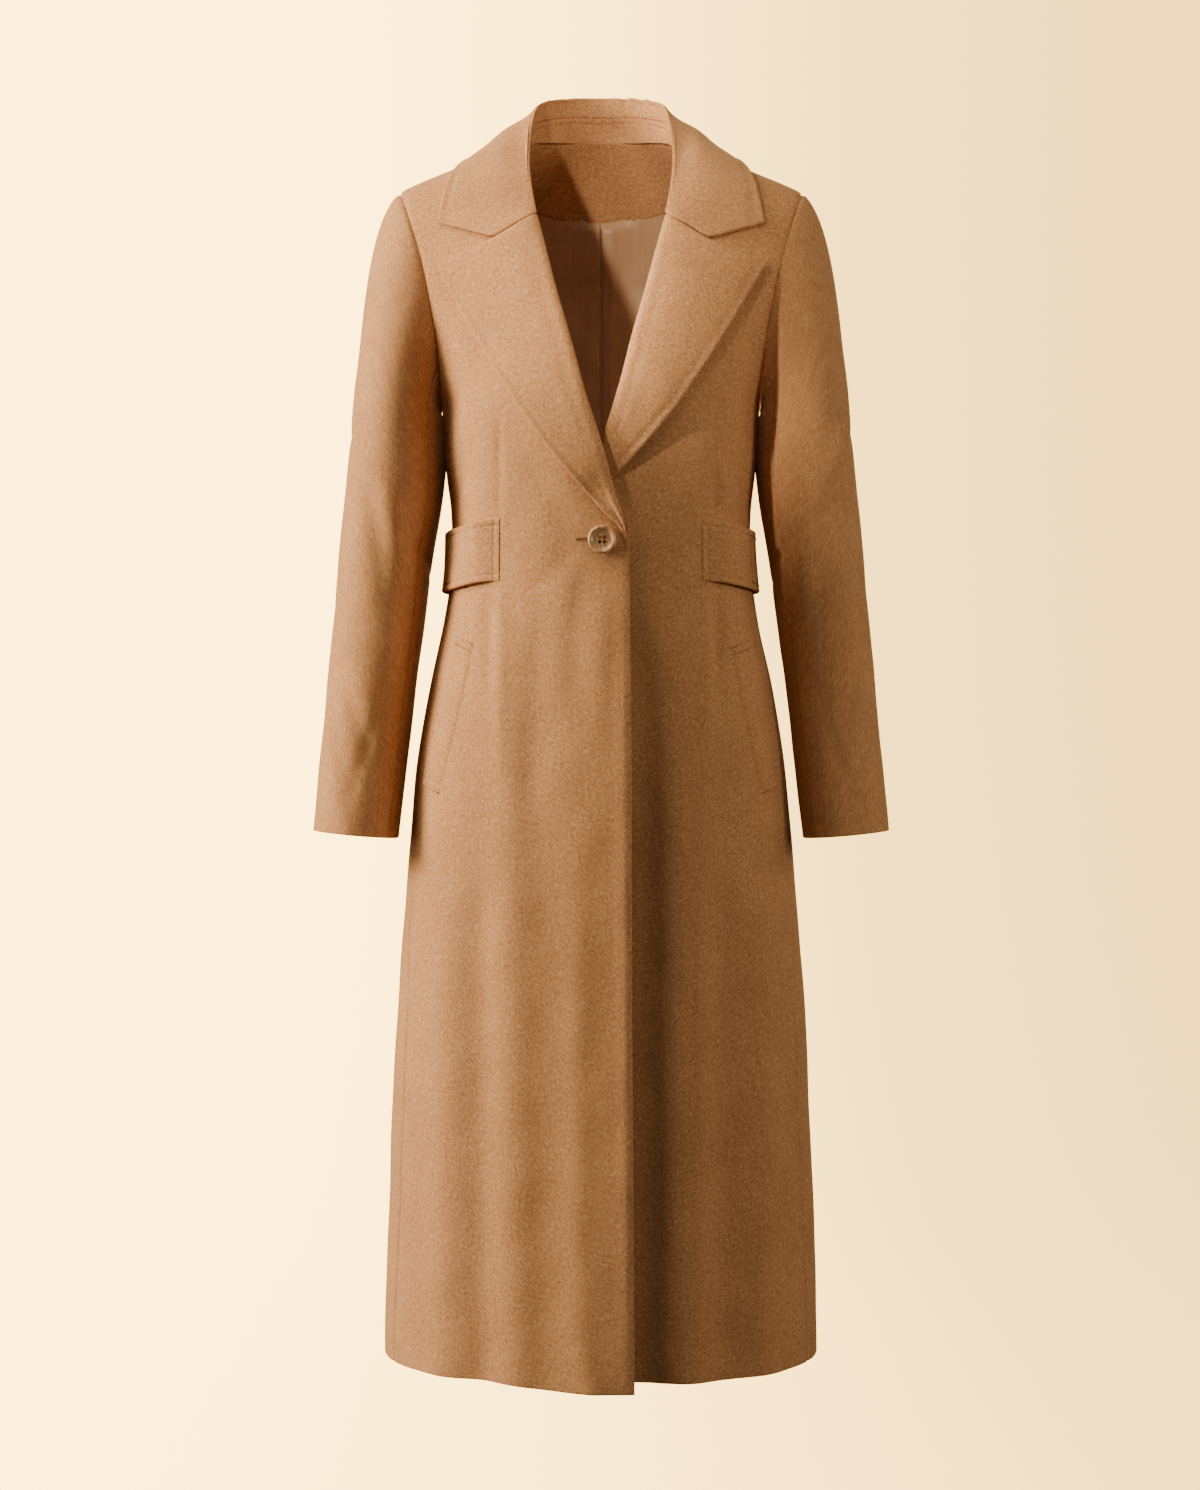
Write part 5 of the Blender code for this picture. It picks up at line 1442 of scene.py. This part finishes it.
def makeButton():
    size = buttonSizes
    seat, axes = buttonFrame()
    profile = [(max(reach, 0.02) * size["radius"], level * size["thick"]) for reach, level in size["profile"]]
    made = ringMesh("hornButton", [seat + ring @ axes for ring in rounds(size["sides"], profile)], True, horn)
    drills = []
    for step in range(4):
        turn = math.pi / 4 + step * math.pi / 2
        middle = np.array([math.cos(turn), math.sin(turn)]) * size["holeReach"]
        through = [(size["holeRadius"], level * size["thick"]) for level in (-1.0, 2.0)]
        rings = [seat + ring @ axes for ring in rounds(size["holeSides"], through, middle)]
        drills.append(ringMesh(f"drill{step}", rings, True, horn))
        cut = made.modifiers.new("hole", "BOOLEAN")
        cut.operation, cut.object = "DIFFERENCE", drills[-1]
    mesh = bpy.data.meshes.new_from_object(made.evaluated_get(bpy.context.evaluated_depsgraph_get()))
    made.modifiers.clear()
    made.data = mesh
    mesh.name = "hornButton"
    mesh.shade_smooth()
    mesh.set_sharp_from_angle(angle=math.radians(size["sharp"]))
    for drill in drills:
        bpy.data.objects.remove(drill)
    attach(made, "root")
    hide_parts("button")
    return seat, axes


buttonSeat, buttonAxes = makeButton()
print("button made")

threadSizes = {
    "seam": {"pitch": 0.0034, "length": 0.0024, "radius": 0.00048},
    "tack": {"pitch": 0.001, "length": 0.0018, "radius": 0.0005},
    "purl": {"pitch": 0.0007, "length": 0.0012, "radius": 0.00048},
    "sunk": 0.0003,  # the thread lies in the channel that it pulls
    "proud": 0.0001,
}


def makeStitchNodes():  # a row of stitches along every line of the mesh it is given
    tree = bpy.data.node_groups.new("stitchRows", "GeometryNodeTree")
    sockets = {}
    for name, way, kind in (
        ("Geometry", "INPUT", "NodeSocketGeometry"),
        ("pitch", "INPUT", "NodeSocketFloat"),
        ("length", "INPUT", "NodeSocketFloat"),
        ("radius", "INPUT", "NodeSocketFloat"),
        ("Geometry", "OUTPUT", "NodeSocketGeometry"),
    ):
        sockets[name] = tree.interface.new_socket(name, in_out=way, socket_type=kind).identifier
    start = addNode(tree, "NodeGroupInput").outputs
    path = addNode(tree, "GeometryNodeMeshToCurve", {}, {"Mesh": start["Geometry"]}).outputs[0]
    along = {"Curve": path, "Length": start["pitch"]}
    spots = addNode(tree, "GeometryNodeCurveToPoints", {"mode": "LENGTH"}, along).outputs
    bead = addNode(tree, "GeometryNodeMeshUVSphere", {"Segments": 6, "Rings": 4, "Radius": 1.0}).outputs[0]
    half = addNode(tree, "ShaderNodeMath", {"operation": "MULTIPLY", 1: 0.5}, {0: start["length"]}).outputs[0]
    thickness = {"X": start["radius"], "Y": start["radius"], "Z": half}
    shape = addNode(tree, "ShaderNodeCombineXYZ", {}, thickness).outputs[0]
    stitches = {"Points": spots["Points"], "Instance": bead, "Rotation": spots["Rotation"], "Scale": shape}
    placed = addNode(tree, "GeometryNodeInstanceOnPoints", {}, stitches).outputs[0]
    real = addNode(tree, "GeometryNodeRealizeInstances", {}, {"Geometry": placed}).outputs[0]
    dressed = addNode(tree, "GeometryNodeSetMaterial", {"Material": thread}, {"Geometry": real}).outputs[0]
    addNode(tree, "NodeGroupOutput", {}, {0: dressed})
    return tree, sockets


stitchNodes, stitchKeys = makeStitchNodes()


def stitch(name, paths, kind):
    points, edges = [], []
    for path in paths:
        edges += [(len(points) + i, len(points) + i + 1) for i in range(len(path) - 1)]
        points += np.asarray(path).tolist()
    made = addMesh(name, points, edges, [])
    rows = made.modifiers.new("rows", "NODES")
    rows.node_group = stitchNodes
    for key, value in threadSizes[kind].items():
        rows[stitchKeys[key]] = value
    plain = bpy.data.meshes.new_from_object(made.evaluated_get(bpy.context.evaluated_depsgraph_get()))
    made.modifiers.clear()
    lines, made.data = made.data, plain
    bpy.data.meshes.remove(lines)
    plain.name = name
    plain.shade_smooth()
    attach(made, "root")
    print(name, len(plain.polygons), "faces")


def standLine(distance):
    line = []
    for run, points, normals in zip(runs(standGrid, 1), standGrid, standNormals):
        sunk = points - normals * threadSizes["sunk"]
        line.append([np.interp(distance, run, sunk[:, i]) for i in range(3)])
    return line[2:-2]


def beltLoop():
    inset = beltSizes["stitchIn"] / (beltSizes["top"] - beltSizes["bottom"])
    reach = 1 - beltSizes["stitchIn"] / (cuts["halfBelt"]["flat"][0] / 2)
    out, down = np.linspace(0, reach, 130), np.linspace(inset, 1 - inset, 24)
    loop = []
    for side, shares, steps in (
        (right, out[::-1], inset),
        (left, out[1:], inset),
        (left, reach, down[1:]),
        (left, out[-2::-1], 1 - inset),
        (right, out[1:], 1 - inset),
        (right, reach, down[-2::-1]),
    ):
        points, normals = beltSpot(side, *np.broadcast_arrays(shares, steps))
        loop.append(toSide(points + normals * threadSizes["proud"], side))
    return np.concatenate(loop)


def weltLine(side, down, across):
    return weltSpot(side, *np.broadcast_arrays(down, across), weltSizes["out"] - threadSizes["sunk"])[0]


stitch("standStitches", [standLine(standSizes["channel"])], "seam")
stitch("beltStitches", [beltLoop()], "seam")
# shares of the welt's length and width where each row of stitches runs
weltRows = {
    "Stitches": ((np.linspace(0.015, 0.985, 60), 0.9), (0.06, np.linspace(0.06, 0.94, 8))),
    "Tacks": ((0.01, np.linspace(0.04, 0.96, 8)), (0.99, np.linspace(0.04, 0.96, 8))),
}
for side, word, _ in pairs:
    for kind, lines in weltRows.items():
        paths = [weltLine(side, down, across) for down, across in lines]
        stitch("welt" + word + kind, paths, "seam" if kind == "Stitches" else "tack")

buttonholeSizes = {
    "x": 0.01,
    "level": -0.4056,
    "half": 0.013,
    "slit": 0.0006,
    "slitDepth": (-0.0004, 0.0002),
    "purl": 0.0011,
    "purlOut": 0.0002,
}


def buttonholeOutline(wide, out, count):
    size = buttonholeSizes
    flat = circleOf(count)
    x = size["x"] + flat[:, 0] * (size["half"] + wide)
    z = size["level"] + power(flat[:, 1], 0.5) * wide
    return toSide(bodyAt(front, right, x, z, out)[0], right)


# the buttonhole's cut is a thin dark lens of painted shadow, standing in for the shade inside the slit
slitShadowPaint = makeThread("paintedSlitShadow", {"base": "#3A2412", "deep": "#24160A", "ply": 0.0006, "roughness": 0.9})
slitRings = [buttonholeOutline(buttonholeSizes["slit"], out, 40) for out in buttonholeSizes["slitDepth"]]
slit = ringMesh("buttonholeSlitShadow", slitRings, True, slitShadowPaint)
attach(slit, "root")
purlLine = buttonholeOutline(buttonholeSizes["purl"], buttonholeSizes["purlOut"], 80)
stitch("buttonholeStitches", [np.concatenate([purlLine, purlLine[:1]])], "purl")

# the thread shank that holds the button off the cloth: radius and height of its rings
shankProfile = ((0.0016, -0.0006), (0.0011, 0.0), (0.001, 0.0008), (0.0012, 0.0016))
foot = np.array([0, 0, -buttonSizes["seat"]])
shankRings = [buttonSeat + (ring + foot) @ buttonAxes for ring in rounds(16, shankProfile)]
shank = ringMesh("buttonShank", shankRings, True, thread)
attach(shank, "root")
print("stitches made")

stageSizes = {
    "radius": 6.0,
    "floor": -1.75,
    "top": 5.0,
    "fillet": 2.5,
    "glow": "#FFCD73",
    # share of the way from the viewer's left to right, and the glow's strength there: painted light, brighter
    # on the left and darker to the right
    "paintedFalloff": ((0.05, 10.2), (0.25, 10.2), (0.72, 4.4), (0.95, 3.6)),
    "halfWidth": 1.9,
    "sides": 96,
    "hub": 0.0002,
    "bend": 12,
}


def makeStage():
    size = stageSizes
    wall, floor, fillet = size["radius"], size["floor"], size["fillet"]
    profile = [(size["hub"], floor), (1.5, floor), (wall - fillet, floor)]
    for turn in np.linspace(0, math.pi / 2, size["bend"] + 1)[1:]:
        profile.append((wall - fillet * (1 - math.sin(turn)), floor + fillet * (1 - math.cos(turn))))
    profile.append((wall, size["top"]))
    # the backdrop only glows for the camera; its glow is painted light, strongest on the left and falling off
    # to the right
    glowingBackdrop, tree, _ = newMaterial("paintedLightBackdrop")
    place = addNode(tree, "ShaderNodeTexCoord").outputs["Object"]
    spread = addNode(tree, "ShaderNodeSeparateXYZ", {}, {0: place}).outputs["X"]
    span = {"From Min": -size["halfWidth"], "From Max": size["halfWidth"]}
    share = addNode(tree, "ShaderNodeMapRange", span, {"Value": spread}).outputs[0]
    stops = tuple((place, (level, level, level, 1)) for place, level in size["paintedFalloff"])
    tone = addNode(tree, "ShaderNodeValToRGB", {}, {0: share}, stops).outputs[0]
    glow = addNode(tree, "ShaderNodeEmission", {"Color": linear(size["glow"])}, {"Strength": tone}).outputs[0]
    tree.links.new(glow, tree.nodes["Material Output"].inputs["Surface"])
    bowl = ringMesh("studioBowl", rounds(size["sides"], profile), False, glowingBackdrop)
    bowl.data.shade_smooth()
    for kind in ("diffuse", "glossy", "transmission", "volume_scatter", "shadow"):
        setattr(bowl, "visible_" + kind, False)


makeStage()

lampTint = "#FFECCE"
coatMiddle = (0.0, 0.0, -0.6)
lights = (
    # name, place, aim, size, watts; the last two are narrow spots, with their angle in degrees:
    # one reaches in at the neck, one grazes the lapel on the wearer's left
    ("keyLight", (-2.961, -0.522, 0.494), coatMiddle, 1.0, 172.0),
    ("lowLight", (-3.079, -0.825, -0.321), coatMiddle, 1.0, 25.0),
    ("highLight", (-1.933, -0.703, 1.851), coatMiddle, 1.0, 50.0),
    ("frontLight", (0.0, -2.057, 1.851), coatMiddle, 1.0, 8.0),
    ("fillLight", (2.729, -1.576, -0.044), coatMiddle, 1.0, 28.0),
    ("sideLight", (2.996, -0.262, 0.494), coatMiddle, 1.0, 12.0),
    ("backLight", (0.8, 3.2, 0.8), coatMiddle, 2.0, 60.0),
    ("neckLight", (-1.219, -2.628, 0.45), (0.025, 0.05, -0.08), 0.17, 620.0, 5.5),
    ("lapelLight", (-2.075, -1.892, 0.776), (0.09, -0.08, -0.24), 0.1, 600.0, 4.4),
)
for name, spot, aim, size, watts, *degrees in lights:
    lamp = bpy.data.lights.new(name, "SPOT" if degrees else "AREA")
    lamp.energy, lamp.color = watts, linear(lampTint)[:3]
    if degrees:
        lamp.shadow_soft_size, lamp.spot_size, lamp.spot_blend = size, math.radians(degrees[0]), 1.0
    else:
        lamp.shape, lamp.size = "DISK", size
    holder = bpy.data.objects.new(name, lamp)
    holder.location = spot
    holder.rotation_euler = (Vector(aim) - Vector(spot)).to_track_quat("-Z", "Y").to_euler()
    bpy.context.scene.collection.objects.link(holder)

world = bpy.data.worlds.new("softRoom")
bpy.context.scene.world = world
world.use_nodes = True
setNode(world.node_tree, world.node_tree.nodes["Background"], {"Color": linear("#FFECD8"), "Strength": 0.03})

cameraSizes = {"spot": (-0.001, -2.6, -0.602), "lens": 62.82, "sensor": 36.0, "far": 50.0}
lens = bpy.data.cameras.new("camera")
lens.lens, lens.sensor_width, lens.clip_end = (cameraSizes[part] for part in ("lens", "sensor", "far"))
cameraObject = bpy.data.objects.new("camera", lens)
cameraObject.location = cameraSizes["spot"]
cameraObject.rotation_euler = (math.pi / 2, 0.0, 0.0)
bpy.context.scene.collection.objects.link(cameraObject)
bpy.context.scene.camera = cameraObject
print("stage, lights and camera set")
